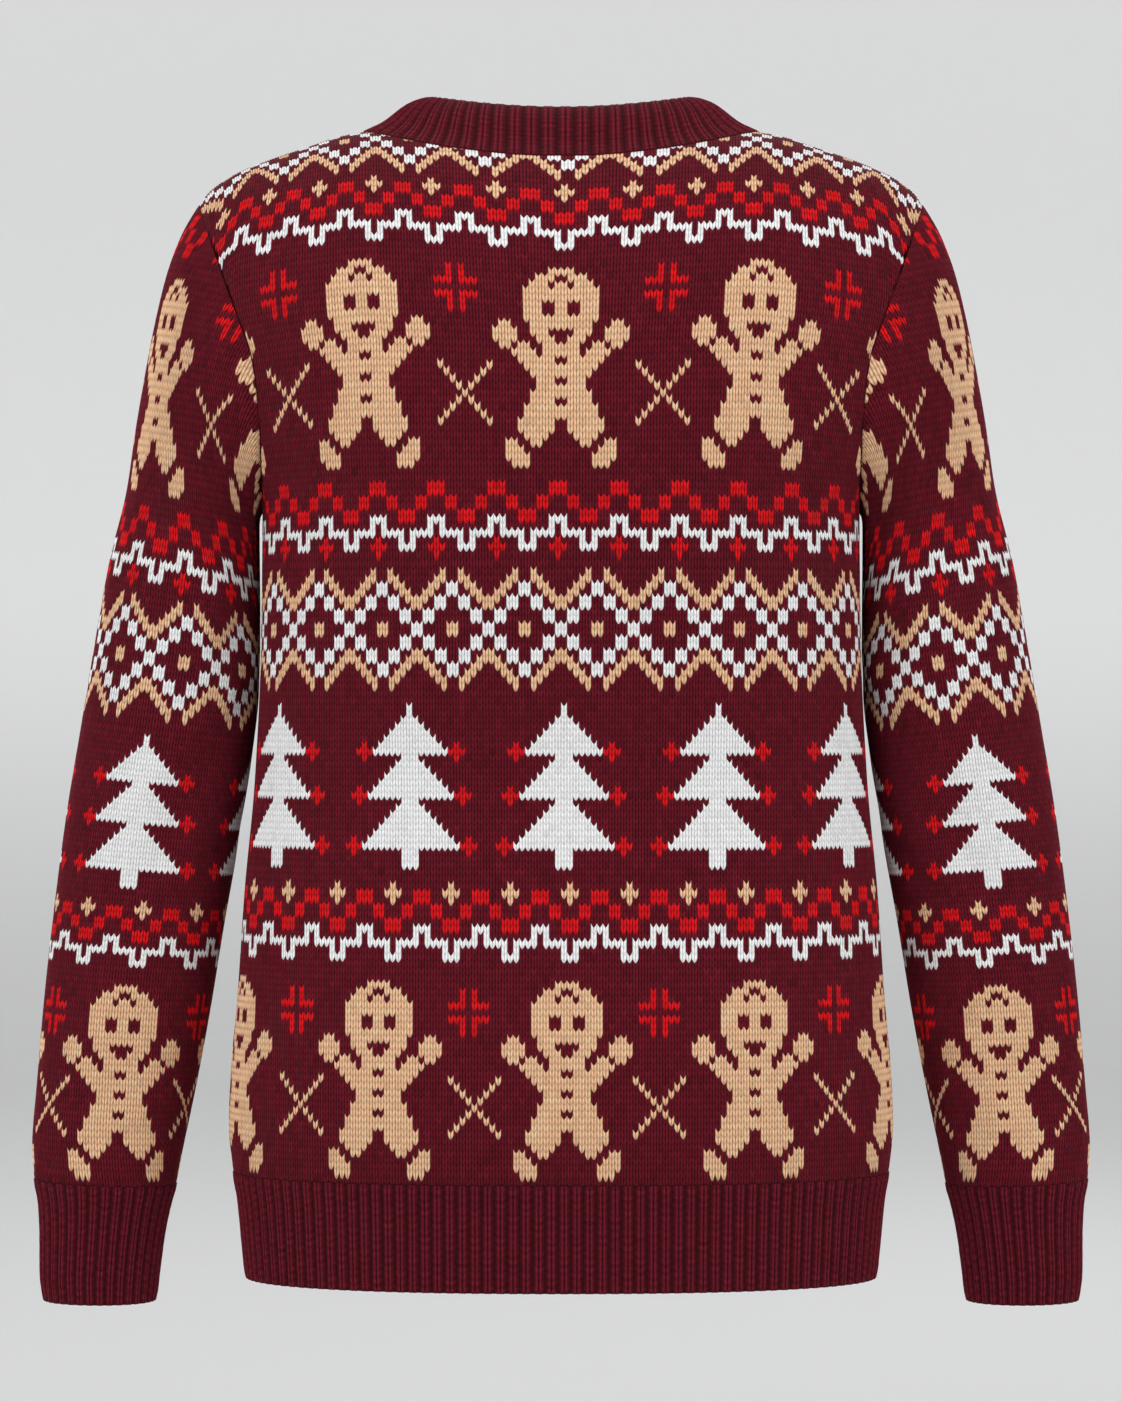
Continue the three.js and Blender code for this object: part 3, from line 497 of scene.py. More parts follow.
def sleeveGrid(wales, courses, folds):
    # Places of the +X sleeve's wales and courses, and the distance to the armhole and to the seam.
    # One more wale lies past all others and follows the seam under the arm.
    wales = np.asarray(wales, float)
    size = np.concatenate([np.abs(wales), [beyond]])
    sign = np.concatenate([np.where(wales < 0, -1.0, 1.0), [1.0]])
    lastRow = len(sleeveRows) - 1
    levels = np.concatenate([np.linspace(lastRow, bicepsRow, 73), np.linspace(bicepsRow, 0, 49)[1:]])
    fine = np.radians(np.linspace(0, 180, 181))
    centre = np.array([[(r[0] + r[2]) / 2, r[5], (r[1] + r[3]) / 2] for r in sleeveRows])
    path, spare = [], []
    for level in levels:
        base = int(min(max(math.floor(level), bicepsRow), lastRow - 1))
        axis = centre[base + 1] - centre[base]
        axis /= np.linalg.norm(axis)
        turns = np.zeros(len(size))
        left = np.zeros(len(size))
        for side in (1.0, -1.0):
            pick = sign == side
            ring = sleevePoints(level, fine * side, folds)
            length = lengths(ring - np.outer(ring @ axis, axis))
            pitch = float(sleevePitchAt(ring[:, 2].mean()))
            turns[pick] = np.interp(size[pick] * pitch, length, fine) * side
            left[pick] = length[-1] - size[pick] * pitch
        path.append(sleevePoints(level, turns, folds))
        spare.append(left)
    path, spare = np.array(path), np.array(spare)
    height = path[..., 2] - sleeveTiltAt(path[..., 2]) * (path[..., 0] - sleeveMiddleX(path[..., 2]))
    height[0] = sleeveCourses[-1][1]
    height = np.maximum.accumulate(height, axis=0)
    edges = np.full(len(wales), len(wales))
    return fillGrid(wales, courses, lambda rows, c: sleeveCourseZ(rows), height, path, spare, edges)


def stamp(canvas, rows, top, left, middle, yarn):
    # Writes a chart's stitches in one yarn, at a course and a wale counted from the middle
    for r, row in enumerate(rows):
        for c, letter in enumerate(row):
            place = left + c + middle
            if letter != "." and 0 <= place < canvas.shape[1]:
                canvas[top + r, place] = yarn


def paintWave(canvas, top, phase, middle, tall, line=True):
    # The check zigzag over the square wave, with small crosses over or under it, or the zigzag alone
    wide = range(-middle, canvas.shape[1] - middle)
    red, white, tan = yarnIndex["red"], yarnIndex["white"], yarnIndex["tan"]
    first = top + (1 if tall else 0)
    for w in wide:
        step = (w - phase) % 10
        place = w + middle
        level = 2 if step in (9, 0, 1) else 0 if step in (4, 5, 6) else 1
        canvas[first + 2 * level:first + 2 * level + 2, place] = red
        crest = first + 5
        if not line:
            continue
        if level == 0:
            canvas[crest, place] = white
            if step != 5:
                canvas[crest:crest + 3, place] = white
        elif level == 2:
            canvas[crest + 4, place] = white
            if step != 0:
                canvas[crest + 2:crest + 5, place] = white
        else:
            canvas[crest + 2, place] = white
        if tall and step == 0:
            canvas[top:top + 3, place] = tan
        if tall and step in (9, 1):
            canvas[top + 1, place] = tan
        if not tall and step == 5:
            canvas[top + 8:top + 11, place] = red
        if not tall and step in (4, 6):
            canvas[top + 9, place] = red


def paintLozenges(canvas, top, phase, middle):
    # Two tan zigzags that mirror each other, round a row of white lozenges with a tan eye
    for w in range(-middle, canvas.shape[1] - middle):
        offset = (w - phase + 6) % 12 - 6
        place = w + middle
        away = abs(offset + 0.5)
        if away > 1:
            k = int(away - 1.5)
            canvas[top + k:top + k + 2, place] = yarnIndex["tan"]
            canvas[top + 16 - k:top + 18 - k, place] = yarnIndex["tan"]
        block = abs((offset + 1) // 2)
        for level in range(-3, 4):
            rows = slice(top + 2 * level + 8, top + 2 * level + 10)
            if block + abs(level) == 3:
                canvas[rows, place] = yarnIndex["white"]
            if block == 0 and level == 0:
                canvas[rows, place] = yarnIndex["tan"]


def paintChart(layout, middle):
    # The whole jacquard: a yarn for each course and wale
    canvas = np.zeros((lastCourse, 2 * middle), int)
    paintLozenges(canvas, starts["lozengeTop"], layout["lozengeTop"], middle)
    drop = layout["topDrop"]
    paintWave(canvas, starts["waveTop"] + drop, layout["waveTop"], middle, True, drop == 0)
    paintWave(canvas, starts["wave"], layout["wave"], middle, False)
    paintLozenges(canvas, starts["lozenge"], layout["lozenge"], middle)
    paintWave(canvas, starts["waveLow"], layout["waveLow"], middle, True)
    whole = [row[::-1] + row for row in manRows]
    bands = (("men", 0, "flakes", "crosses"), ("menLow", 1, "flakesLow", "crossesLow"))
    for name, drop, flakes, crosses in bands:
        top = starts[name]
        for place in layout[name]:
            stamp(canvas, whole, top, place - 11, middle, yarnIndex["tan"])
        for place in layout[flakes]:
            stamp(canvas, flakeRows, top + drop, place - 3, middle, yarnIndex["red"])
        for place in layout[crosses]:
            stamp(canvas, saltireRows, top + 14, place - 4, middle, yarnIndex["tan"])
    top = starts["trees"]
    for place in layout["trees"]:
        for tip, out in treeTips:
            for side in (-1, 1):
                stamp(canvas, crossRows, top + tip - 1, place + side * out - 1, middle, yarnIndex["red"])
    for place in layout["trees"]:
        for r, half in enumerate(treeRows):
            stamp(canvas, ["X" * (2 * half + 1)], top + r, place - half, middle, yarnIndex["white"])
    return canvas


def fillNormals(normal, size):
    # Gives places where wales or courses end the direction of their nearest whole neighbour
    good = size > 1e-3
    rows, columns = good.shape
    middle = columns // 2
    for order in (range(middle, columns), range(middle, -1, -1)):
        last = None
        for c in order:
            if last is not None:
                bad = ~good[:, c] & good[:, last]
                normal[bad, c] = normal[bad, last]
                good[bad, c] = True
            last = c
    for r in range(rows - 2, -1, -1):
        bad = ~good[r] & good[r + 1]
        normal[r, bad] = normal[r + 1, bad]
        good[r, bad] = True
    return normal


def gridNormals(points, around):
    if around:
        right = np.roll(points, -1, axis=1) - np.roll(points, 1, axis=1)
    else:
        right = np.gradient(points, axis=1)
    down = np.gradient(points, axis=0)
    normal = np.cross(down, right)
    size = np.linalg.norm(normal, axis=2)
    normal = normal / np.maximum(size, 1e-9)[..., None]
    return normal if around else fillNormals(normal, size)


def gridTriangles(rows, columns, around, sub=4):
    # Triangles of a grid with courses going down and wales going right, seen from outside. The cells'
    # diagonals mirror each other in the two halves of a stitch, which has sub columns.
    wide = columns if around else columns - 1
    r, c = np.meshgrid(np.arange(rows - 1), np.arange(wide), indexing="ij")
    n = (c + 1) % columns
    a, b = r * columns + c, r * columns + n
    d, e = (r + 1) * columns + c, (r + 1) * columns + n
    leftHalf = (c % sub) < sub / 2
    one = np.where(leftHalf[..., None], np.stack([a, d, b], -1), np.stack([a, d, e], -1))
    two = np.where(leftHalf[..., None], np.stack([b, d, e], -1), np.stack([a, e, b], -1))
    cells = np.stack([r, c], -1).reshape(-1, 2)
    return np.concatenate([one.reshape(-1, 3), two.reshape(-1, 3)]), np.concatenate([cells, cells])


def weld(points, triangles, keep):
    # Joins vertices at one place and drops the triangles that lose a side, here and in keep
    rounded = np.round(points * 1e3).astype(np.int64)
    _, first, inverse = np.unique(rounded, axis=0, return_index=True, return_inverse=True)
    inverse = inverse.reshape(-1)
    welded = inverse[triangles]
    whole = (welded[:, 0] != welded[:, 1]) & (welded[:, 1] != welded[:, 2]) & (welded[:, 0] != welded[:, 2])
    return points[first], welded[whole], [item[whole] for item in keep]


def boundaryLoops(triangles):
    # Loops of edges that only one triangle has, in the triangles' own direction
    edges = np.concatenate([triangles[:, [0, 1]], triangles[:, [1, 2]], triangles[:, [2, 0]]])
    big = int(triangles.max()) + 1
    key = edges[:, 0] * big + edges[:, 1]
    back = edges[:, 1] * big + edges[:, 0]
    alone = edges[~np.isin(key, back)]
    following = {}
    for a, b in alone.tolist():
        following.setdefault(a, []).append(b)
    loops = []
    while following:
        start = next(iter(following))
        loop = [start]
        here = start
        while True:
            after = following[here].pop()
            if not following[here]:
                del following[here]
            if after == start:
                break
            loop.append(after)
            here = after
        loops.append(loop)
    return loops


def rimTriangles(points, outer, inner):
    # Closes the gap between an outer loop and the inner loop that runs the other way
    inner = inner[::-1]
    start = np.argmin(np.linalg.norm(points[inner] - points[outer[0]], axis=1))
    inner = inner[start:] + inner[:start]
    made = []
    a = b = 0
    while a < len(outer) or b < len(inner):
        here, there = outer[a % len(outer)], inner[b % len(inner)]
        nextA, nextB = outer[(a + 1) % len(outer)], inner[(b + 1) % len(inner)]
        goA = np.linalg.norm(points[nextA] - points[there])
        goB = np.linalg.norm(points[nextB] - points[here])
        if b >= len(inner) or (a < len(outer) and goA <= goB):
            made.append((nextA, here, there))
            a += 1
        else:
            made.append((here, there, nextB))
            b += 1
    return np.array(made)


def makeShell(name, outer, inner):
    # One closed mesh of an outer skin with stitch coordinates and yarns, an inner skin and the rims
    points, triangles, places, colours = outer
    innerPoints, innerTriangles = inner
    shift = len(points)
    every = np.concatenate([points, innerPoints])
    innerTriangles = innerTriangles[:, ::-1] + shift
    innerLoops = boundaryLoops(innerTriangles)
    rims = []
    for loop in boundaryLoops(triangles):
        centre = every[loop].mean(axis=0)
        nearest = min(innerLoops, key=lambda other: np.linalg.norm(every[other].mean(axis=0) - centre))
        rims.append(rimTriangles(every, loop, nearest))
    rims = np.concatenate(rims)
    allTriangles = np.concatenate([triangles, innerTriangles, rims])
    count = len(allTriangles)
    mesh = bpy.data.meshes.new(name)
    mesh.vertices.add(len(every))
    mesh.vertices.foreach_set("co", (every / 1000).ravel())
    mesh.loops.add(3 * count)
    mesh.loops.foreach_set("vertex_index", allTriangles.ravel().astype(np.int32))
    mesh.polygons.add(count)
    mesh.polygons.foreach_set("loop_start", np.arange(0, 3 * count, 3, dtype=np.int32))
    mesh.polygons.foreach_set("use_smooth", np.ones(count, bool))
    plain = np.concatenate([innerTriangles, rims])
    uv = np.concatenate([places.reshape(-1, 2), plainPlaces(every, plain)])
    layer = mesh.uv_layers.new(name="stitches")
    layer.data.foreach_set("uv", uv.ravel())
    tint = mesh.attributes.new("yarn", "FLOAT_COLOR", "FACE")
    back = np.tile(insideColour(name), (len(plain), 1))
    tint.data.foreach_set("color", np.concatenate([colours, back]).ravel())
    mesh.update(calc_edges=True)
    mesh.validate()
    made = bpy.data.objects.new(name, mesh)
    bpy.context.scene.collection.objects.link(made)
    return made


def insideColour(name):
    base = yarns["ground"] if ("panel" in name or "sleeve" in name) else yarns["rib"]
    return (*[insideShade * v for v in base], 1.0)


def plainPlaces(points, triangles):
    # Stitch coordinates for the inside, from the height and the sideways place
    corners = points[triangles].reshape(-1, 3)
    return np.stack([(corners[:, 0] + corners[:, 1]) / stitchWide, -corners[:, 2] / stitchTall], axis=-1)


def yarnColours(indices, seed):
    # Each stitch's colour, which differs a little from its neighbours'
    table = np.array([yarns[name] for name in yarnIndex])
    spread = np.array(list(yarnSpread.values()))
    noise = 1 + spread[indices] * np.random.default_rng(seed).normal(0, 1, indices.shape)
    colours = np.clip(table[indices] * noise[..., None], 0, 1)
    return np.concatenate([colours, np.ones((*indices.shape, 1))], axis=-1)


def subWales(half):
    # Four columns of vertices to a wale: groove, leg, hollow, leg
    return np.arange(-4 * half, 4 * half + 1) / 4


def stitchCourses(wales, courses):
    # Each course's edge dips in the middle of every wale, which gives the stitch its V
    part = np.abs(2 * (wales % 1) - 1)
    dip = knit["hook"] * (1 - part ** knit["hookCurve"])
    grid = np.asarray(courses, float)[:, None] + dip[None, :]
    return np.minimum(grid, lastCourse)


def relief(wales, fromTop, fromEdge, courses):
    # Height of the stitches over the plain surface, lower at the seams and dipping at the armhole's edge
    quarter = np.round(wales * 4).astype(int) % 4
    height = np.where(quarter % 2 == 1, knit["leg"], np.where(quarter == 2, knit["hollow"], 0.0))
    fromHem = (lastCourse - courses) * stitchTall
    fromEnds = np.minimum(np.maximum(fromHem, 0), np.maximum(fromTop, 0))
    sides = np.exp(-((np.maximum(fromEdge, 0) / knit["seamWidth"]) ** 2))
    ends = np.exp(-((fromEnds / knit["seamWidth"]) ** 2))
    low = 1 - knit["seamFlat"] * np.maximum(sides, 0.5 * ends)
    return height[None, :] * low - knit["seamDip"] * sides - knit["sink"]


def flatArea(points, triangles):
    # In square metres
    a, b, c = (points[triangles[:, k]] for k in range(3))
    return 0.5 * np.linalg.norm(np.cross(b - a, c - a), axis=1).sum() / 1e6


def knitPiece(name, gridOf, half, canvas, mirror, seed):
    # A jacquard piece from its grid of wales and courses, half being its wales on each side
    wales = subWales(half)
    courses = np.arange(0, lastCourse + 1)
    grid = stitchCourses(wales, courses)
    base, fromTop, fromEdge = gridOf(wales, grid)
    points = base + gridNormals(base, False) * relief(wales, fromTop, fromEdge, grid)[..., None]
    points = snapEdges(points, base)
    triangles, cells = gridTriangles(len(courses), len(wales), False)
    colours = yarnColours(canvas, seed)
    tints = colours[np.minimum(cells[:, 0], lastCourse - 1), cells[:, 1] // 4]
    # A stitch drawn out along an edge is plain ground, as where the yarns change at a seam
    corners = points.reshape(-1, 3)[triangles]
    longest = np.linalg.norm(corners - np.roll(corners, 1, axis=1), axis=2).max(axis=1)
    tints = np.where((longest > knit["longest"])[:, None], (*yarns["ground"], 1.0), tints)
    places = np.stack([np.broadcast_to(wales, grid.shape), grid], -1).reshape(-1, 2)[triangles]
    flat, tri, (places, tints) = weld(points.reshape(-1, 3), triangles, [places, tints])
    coarseWales = np.unique(np.concatenate([np.arange(-half, half + 1, 3.0), [float(half)]]))
    coarseCourses = np.unique(np.concatenate([np.arange(0, lastCourse, 4.0), [float(lastCourse)]]))
    coarse = gridOf(coarseWales, coarseCourses)[0]
    inner = snapEdges(coarse - gridNormals(coarse, False) * knit["wall"], coarse)
    innerTriangles, _ = gridTriangles(len(coarseCourses), len(coarseWales), False)
    innerFlat, innerTri, _ = weld(inner.reshape(-1, 3), innerTriangles, [])
    area = flatArea(innerFlat, innerTri)
    if mirror:
        flat, innerFlat = flat * (-1, 1, 1), innerFlat * (-1, 1, 1)
        tri, innerTri = tri[:, ::-1], innerTri[:, ::-1]
        places = places[:, ::-1]
    return makeShell(name, (flat, tri, places, tints), (innerFlat, innerTri)), area


def snapEdges(points, base):
    # Vertices that share one place on the plain surface share one place on the raised one
    flat = np.round(base.reshape(-1, 3) * 1e3).astype(np.int64)
    _, first, inverse = np.unique(flat, axis=0, return_index=True, return_inverse=True)
    return points.reshape(-1, 3)[first][inverse.reshape(-1)].reshape(points.shape)


def evenly(loop, count):
    length = lengths(closed(loop))
    return placesAt(np.arange(count) / count * length[-1], length, closed(loop))


# Across one rib: place, height, stitch coordinate and the painted shade or highlight of the face that
# follows, darker in the valleys and lighter on the raised legs
ribColumns = [
    (0.0, 0.0, 0.0, 0.68), (0.15, 0.05, 0.11, 0.74), (0.24, 0.55, 0.17, 1.0), (0.30, 0.95, 0.22, 1.35),
    (0.38, 1.0, 0.30, 1.15), (0.45, 0.68, 0.42, 0.72), (0.5, 0.5, 0.5, 0.72), (0.55, 0.68, 0.58, 1.15),
    (0.62, 1.0, 0.70, 1.35), (0.70, 0.95, 0.78, 1.0), (0.76, 0.55, 0.83, 0.74), (0.85, 0.05, 0.89, 0.68),
]
ribShares, ribHeights, ribPlaces, ribShadeAndHighlight = (np.array([row[k] for row in ribColumns]) for k in range(4))


def ribPiece(name, loops, rib, mirror=False, endUp=False, matched=False):
    # A ribbed band from plain loops, top first: two raised legs and a flat valley to each rib. Its free
    # end is at the bottom or, with endUp, the top. Matched loops share their points' places round the band.
    rows, count = len(loops), rib["count"]
    shares = (np.arange(count)[:, None] + ribShares[None, :]).ravel() / count
    base = []
    for loop in loops:
        length = np.arange(len(loop) + 1) if matched else lengths(closed(loop))
        base.append(placesAt(shares * length[-1], length, closed(loop)))
    base = np.array(base)
    normal = gridNormals(base, True)
    down = np.gradient(base, axis=0)
    down /= np.linalg.norm(down, axis=2, keepdims=True)
    profile = np.tile(ribHeights, count)[None, :]
    level = np.linspace(0, 1, rows)[:, None]
    fromSeam, fromEnd = (1 - level, level) if endUp else (level, 1 - level)
    ends = np.exp(-(fromEnd * rows / 1.1) ** 2)
    seam = np.exp(-(fromSeam * rows / 1.2) ** 2)
    wobble = np.random.default_rng(count).normal(0, ribYarn["wobble"], (rows, len(shares)))
    # The legs flatten at both ends, the whole band turns a little out at the free one and in at the seam
    height = rib["height"] * (profile * (1 - 0.35 * seam - 0.75 * ends) + 0.3 * ends)
    height = height - 0.12 * seam + wobble * profile
    points = base + normal * height[..., None]
    points = points + (-down if endUp else down) * (ends * rib["droop"] * profile)[..., None]
    triangles, cells = gridTriangles(rows, len(shares), True, sub=len(ribShares))
    stepU = np.concatenate([(np.arange(count)[:, None] + ribPlaces[None, :]).ravel(), [count]])
    tall = np.linalg.norm(np.diff(base, axis=0), axis=2).mean(axis=1)
    along = np.concatenate([[0], np.cumsum(tall)]) / stitchTall
    columns = len(shares)
    r, c = np.divmod(triangles, columns)
    wrapped = (c == 0) & (cells[:, 1:] == columns - 1)
    places = np.stack([np.where(wrapped, count, stepU[c]), along[r]], axis=-1)
    even = (np.arange(rows)[:, None] + np.arange(count)[None, :]) % 2 == 0
    toneAndShade = 1 + np.where(even, ribYarn["beads"], -ribYarn["beads"])
    toneAndShade = toneAndShade + ribYarn["spread"] * np.random.default_rng(count + 3).normal(0, 1, (rows, count))
    # Each face also takes the rib's painted shade in the valleys and painted highlight on the raised legs
    toneAndShade = toneAndShade[cells[:, 0], cells[:, 1] // len(ribShares)] * ribShadeAndHighlight[cells[:, 1] % len(ribShares)]
    colours = np.array(yarns["rib"])[None, :] * toneAndShade[:, None]
    colours = np.concatenate([np.clip(colours, 0, 1), np.ones((len(colours), 1))], axis=1)
    # The inside keeps every second loop and the last one
    few = loops[::2] + ([loops[-1]] if rows % 2 == 0 else [])
    coarse = np.array([evenly(loop, count) for loop in few])
    inner = coarse - gridNormals(coarse, True) * rib["wall"]
    innerTriangles, _ = gridTriangles(len(coarse), coarse.shape[1], True)
    flat, tri = points.reshape(-1, 3), triangles
    innerFlat = inner.reshape(-1, 3)
    area = flatArea(coarse.reshape(-1, 3), innerTriangles)
    if mirror:
        flat, innerFlat = flat * (-1, 1, 1), innerFlat * (-1, 1, 1)
        tri, innerTriangles = tri[:, ::-1], innerTriangles[:, ::-1]
        places = places[:, ::-1]
    return makeShell(name, (flat, tri, places, colours), (innerFlat, innerTriangles)), area


def hemLoops():
    widths, backs, fronts = (column(hemRows, 0, k) for k in (1, 2, 3))
    loops = []
    first = {}
    share = np.linspace(0, 1, 90)
    ones = np.ones(len(share))
    for z in np.linspace(hemSeamZ - seamGap / 2, hemRows[-1][0], ribs["hem"]["rows"]):
        parts = []
        for face, depths in (("back", backs), ("front", fronts)):
            line = section(face, z, float(widths(z)), float(depths(z)))
            # The ribs hang straight down and only lean in near the sides
            full = first.setdefault(face, line[2][-1])
            reach = full * share * (1 - (1 - line[2][-1] / full) * share ** 2)
            right = onSection(face, line, z, reach, ones)
            left = onSection(face, line, z, reach, -ones)
            parts.append(np.concatenate([left[::-1][:-1], right]))
        loops.append(np.concatenate([parts[0][:-1], parts[1][::-1][:-1]]))
    return loops


def cuffLoops():
    columns = [Smooth(range(len(cuffRows)), [row[k] for row in cuffRows]) for k in range(6)]
    turns = np.radians(np.linspace(180, -180, 181)[:-1])
    loops = []
    for level in np.linspace(0, len(cuffRows) - 1, ribs["cuff"]["rows"]):
        loops.append(flatSection([float(c(level)) for c in columns], turns))
    loops[0] = loops[0] - (0, 0, seamGap / 2)
    return loops


def neckLoops():
    # From the neckline up to the top edge, starting at one neck point
    base, top = [], []
    narrow = bandTop["halfWidth"] / neckHalfWidth
    for face, order in (("back", 1), ("front", -1)):
        side = faces[face]
        line = section(face, yokeZ)
        share = neckAcross * np.sin(np.linspace(0, math.pi / 2, 200))
        ones = np.ones(len(share))
        start = onSection(face, line, yokeZ, share * line[2][-1], ones)
        length = lengths(yokePoints(face, start, share, ones, 1.0))
        spots = np.interp(np.linspace(0, 1, 61) * length[-1], length, share)
        signed = np.concatenate([-spots[::-1][:-1], spots])[::order]
        sign = np.where(signed < 0, -1.0, 1.0)
        share = np.abs(signed)
        start = onSection(face, line, yokeZ, share * line[2][-1], sign)
        low = yokePoints(face, start, share, sign, 1.0)
        # The ribs stand upright in the middle and lean in towards the neck points
        across = share / neckAcross
        across = np.minimum(1, across / narrow * (1 - (1 - narrow) * across ** 1.8))
        opened = np.sqrt(np.maximum(0, 1 - across ** 2))
        x = sign * bandTop["halfWidth"] * across
        z = bandTop["sideZ"] + (side["bandZ"] - bandTop["sideZ"]) * opened ** side["bandCurve"]
        high = np.stack([x, side["sign"] * side["bandReach"] * opened, z], axis=-1)
        base.append(low[:-1])
        top.append(high[:-1])
    base, top = np.concatenate(base), np.concatenate(top)
    tangent = np.roll(base, -1, axis=0) - np.roll(base, 1, axis=0)
    out = np.cross(tangent, top - base)
    out /= np.linalg.norm(out, axis=1, keepdims=True)
    loops = []
    for level in np.linspace(1, 0.012, ribs["neck"]["rows"]):
        curve = bandTop["bulge"] * math.sin(math.pi * level) - bandTop["sway"] * math.sin(2 * math.pi * level)
        loops.append(base + (top - base) * level + out * curve)
    # The ribs run straight from base to top and are even at the base, so all rows share its places
    length = lengths(closed(loops[-1]))
    steps = np.arange(len(length))
    even = np.interp(np.linspace(0, length[-1], 8 * len(base) + 1)[:-1], length, steps)
    return [placesAt(even, steps, closed(loop)) for loop in loops]


def link(tree, a, b):
    tree.links.new(a, b)


def calc(tree, operation, *inputs, clamp=False):
    node = tree.nodes.new("ShaderNodeMath")
    node.operation = operation
    node.use_clamp = clamp
    for i, value in enumerate(inputs):
        if isinstance(value, (int, float)):
            node.inputs[i].default_value = value
        else:
            link(tree, value, node.inputs[i])
    return node.outputs[0]


def startGroup(name, inputs, outputs):
    # A node group with its named sockets
    tree = bpy.data.node_groups.new(name, "ShaderNodeTree")
    for label, kind, value in inputs:
        socket = tree.interface.new_socket(name=label, in_out="INPUT", socket_type=kind)
        if value is not None:
            socket.default_value = value
    for label, kind in outputs:
        tree.interface.new_socket(name=label, in_out="OUTPUT", socket_type=kind)
    return tree, tree.nodes.new("NodeGroupInput"), tree.nodes.new("NodeGroupOutput")


def makeStitchGroup():
    # Height and hollows of a knit stitch from its wale and course coordinates
    tree, start, end = startGroup(
        "stitchShape",
        [("Places", "NodeSocketVector", None), ("Hook", "NodeSocketFloat", 0.5)],
        [("Height", "NodeSocketFloat"), ("Hollow", "NodeSocketFloat"), ("Fibre", "NodeSocketFloat")],
    )
    split = tree.nodes.new("ShaderNodeSeparateXYZ")
    link(tree, start.outputs["Places"], split.inputs[0])
    part = calc(tree, "FRACT", split.outputs["X"])
    edge = calc(tree, "ABSOLUTE", calc(tree, "SUBTRACT", calc(tree, "MULTIPLY", part, 2.0), 1.0))
    bend = calc(tree, "SUBTRACT", 1.0, calc(tree, "POWER", edge, knit["hookCurve"]))
    dip = calc(tree, "MULTIPLY", start.outputs["Hook"], bend)
    phase = calc(tree, "FRACT", calc(tree, "SUBTRACT", split.outputs["Y"], dip))
    legs = calc(tree, "MULTIPLY", edge, calc(tree, "SUBTRACT", 1.0, edge))
    legs = calc(tree, "POWER", calc(tree, "MULTIPLY", legs, 4.0, clamp=True), 0.6)
    swell = calc(tree, "SINE", calc(tree, "MULTIPLY", phase, math.pi))
    swell = calc(tree, "MULTIPLY", calc(tree, "POWER", swell, 0.5), 0.55)
    height = calc(tree, "MULTIPLY", legs, calc(tree, "ADD", 0.45, swell))
    stretch = tree.nodes.new("ShaderNodeVectorMath")
    stretch.operation = "MULTIPLY"
    link(tree, start.outputs["Places"], stretch.inputs[0])
    stretch.inputs[1].default_value = (9.0, 2.2, 1.0)
    noise = tree.nodes.new("ShaderNodeTexNoise")
    noise.inputs["Scale"].default_value = 1.0
    noise.inputs["Detail"].default_value = 2.0
    link(tree, stretch.outputs[0], noise.inputs["Vector"])
    link(tree, height, end.inputs["Height"])
    link(tree, calc(tree, "SUBTRACT", 1.0, height, clamp=True), end.inputs["Hollow"])
    link(tree, noise.outputs["Fac"], end.inputs["Fibre"])
    return tree


def makeHollowShadeGroup():
    # Paints shade into the hollows between stitches by darkening their colour, and varies the yarn a little
    tree, start, end = startGroup(
        "hollowShadeAndHeather",
        [("Colour", "NodeSocketColor", None), ("Hollow", "NodeSocketFloat", 0.0),
         ("Fibre", "NodeSocketFloat", 0.5), ("Depth", "NodeSocketFloat", 0.6),
         ("Heather", "NodeSocketFloat", 0.3)],
        [("Colour", "NodeSocketColor")],
    )
    deep = calc(tree, "MULTIPLY", start.outputs["Hollow"], start.outputs["Depth"])
    shade = calc(tree, "SUBTRACT", 1.0, deep, clamp=True)
    wander = calc(tree, "SUBTRACT", start.outputs["Fibre"], 0.5)
    wander = calc(tree, "ADD", 1.0, calc(tree, "MULTIPLY", wander, start.outputs["Heather"]))
    value = calc(tree, "MULTIPLY", shade, wander)
    mix = tree.nodes.new("ShaderNodeVectorMath")
    mix.operation = "SCALE"
    link(tree, start.outputs["Colour"], mix.inputs[0])
    link(tree, value, mix.inputs["Scale"])
    link(tree, mix.outputs[0], end.inputs["Colour"])
    return tree


stitchGroup = makeStitchGroup()
hollowShadeGroup = makeHollowShadeGroup()


def addGroup(tree, group):
    node = tree.nodes.new("ShaderNodeGroup")
    node.node_tree = group
    return node


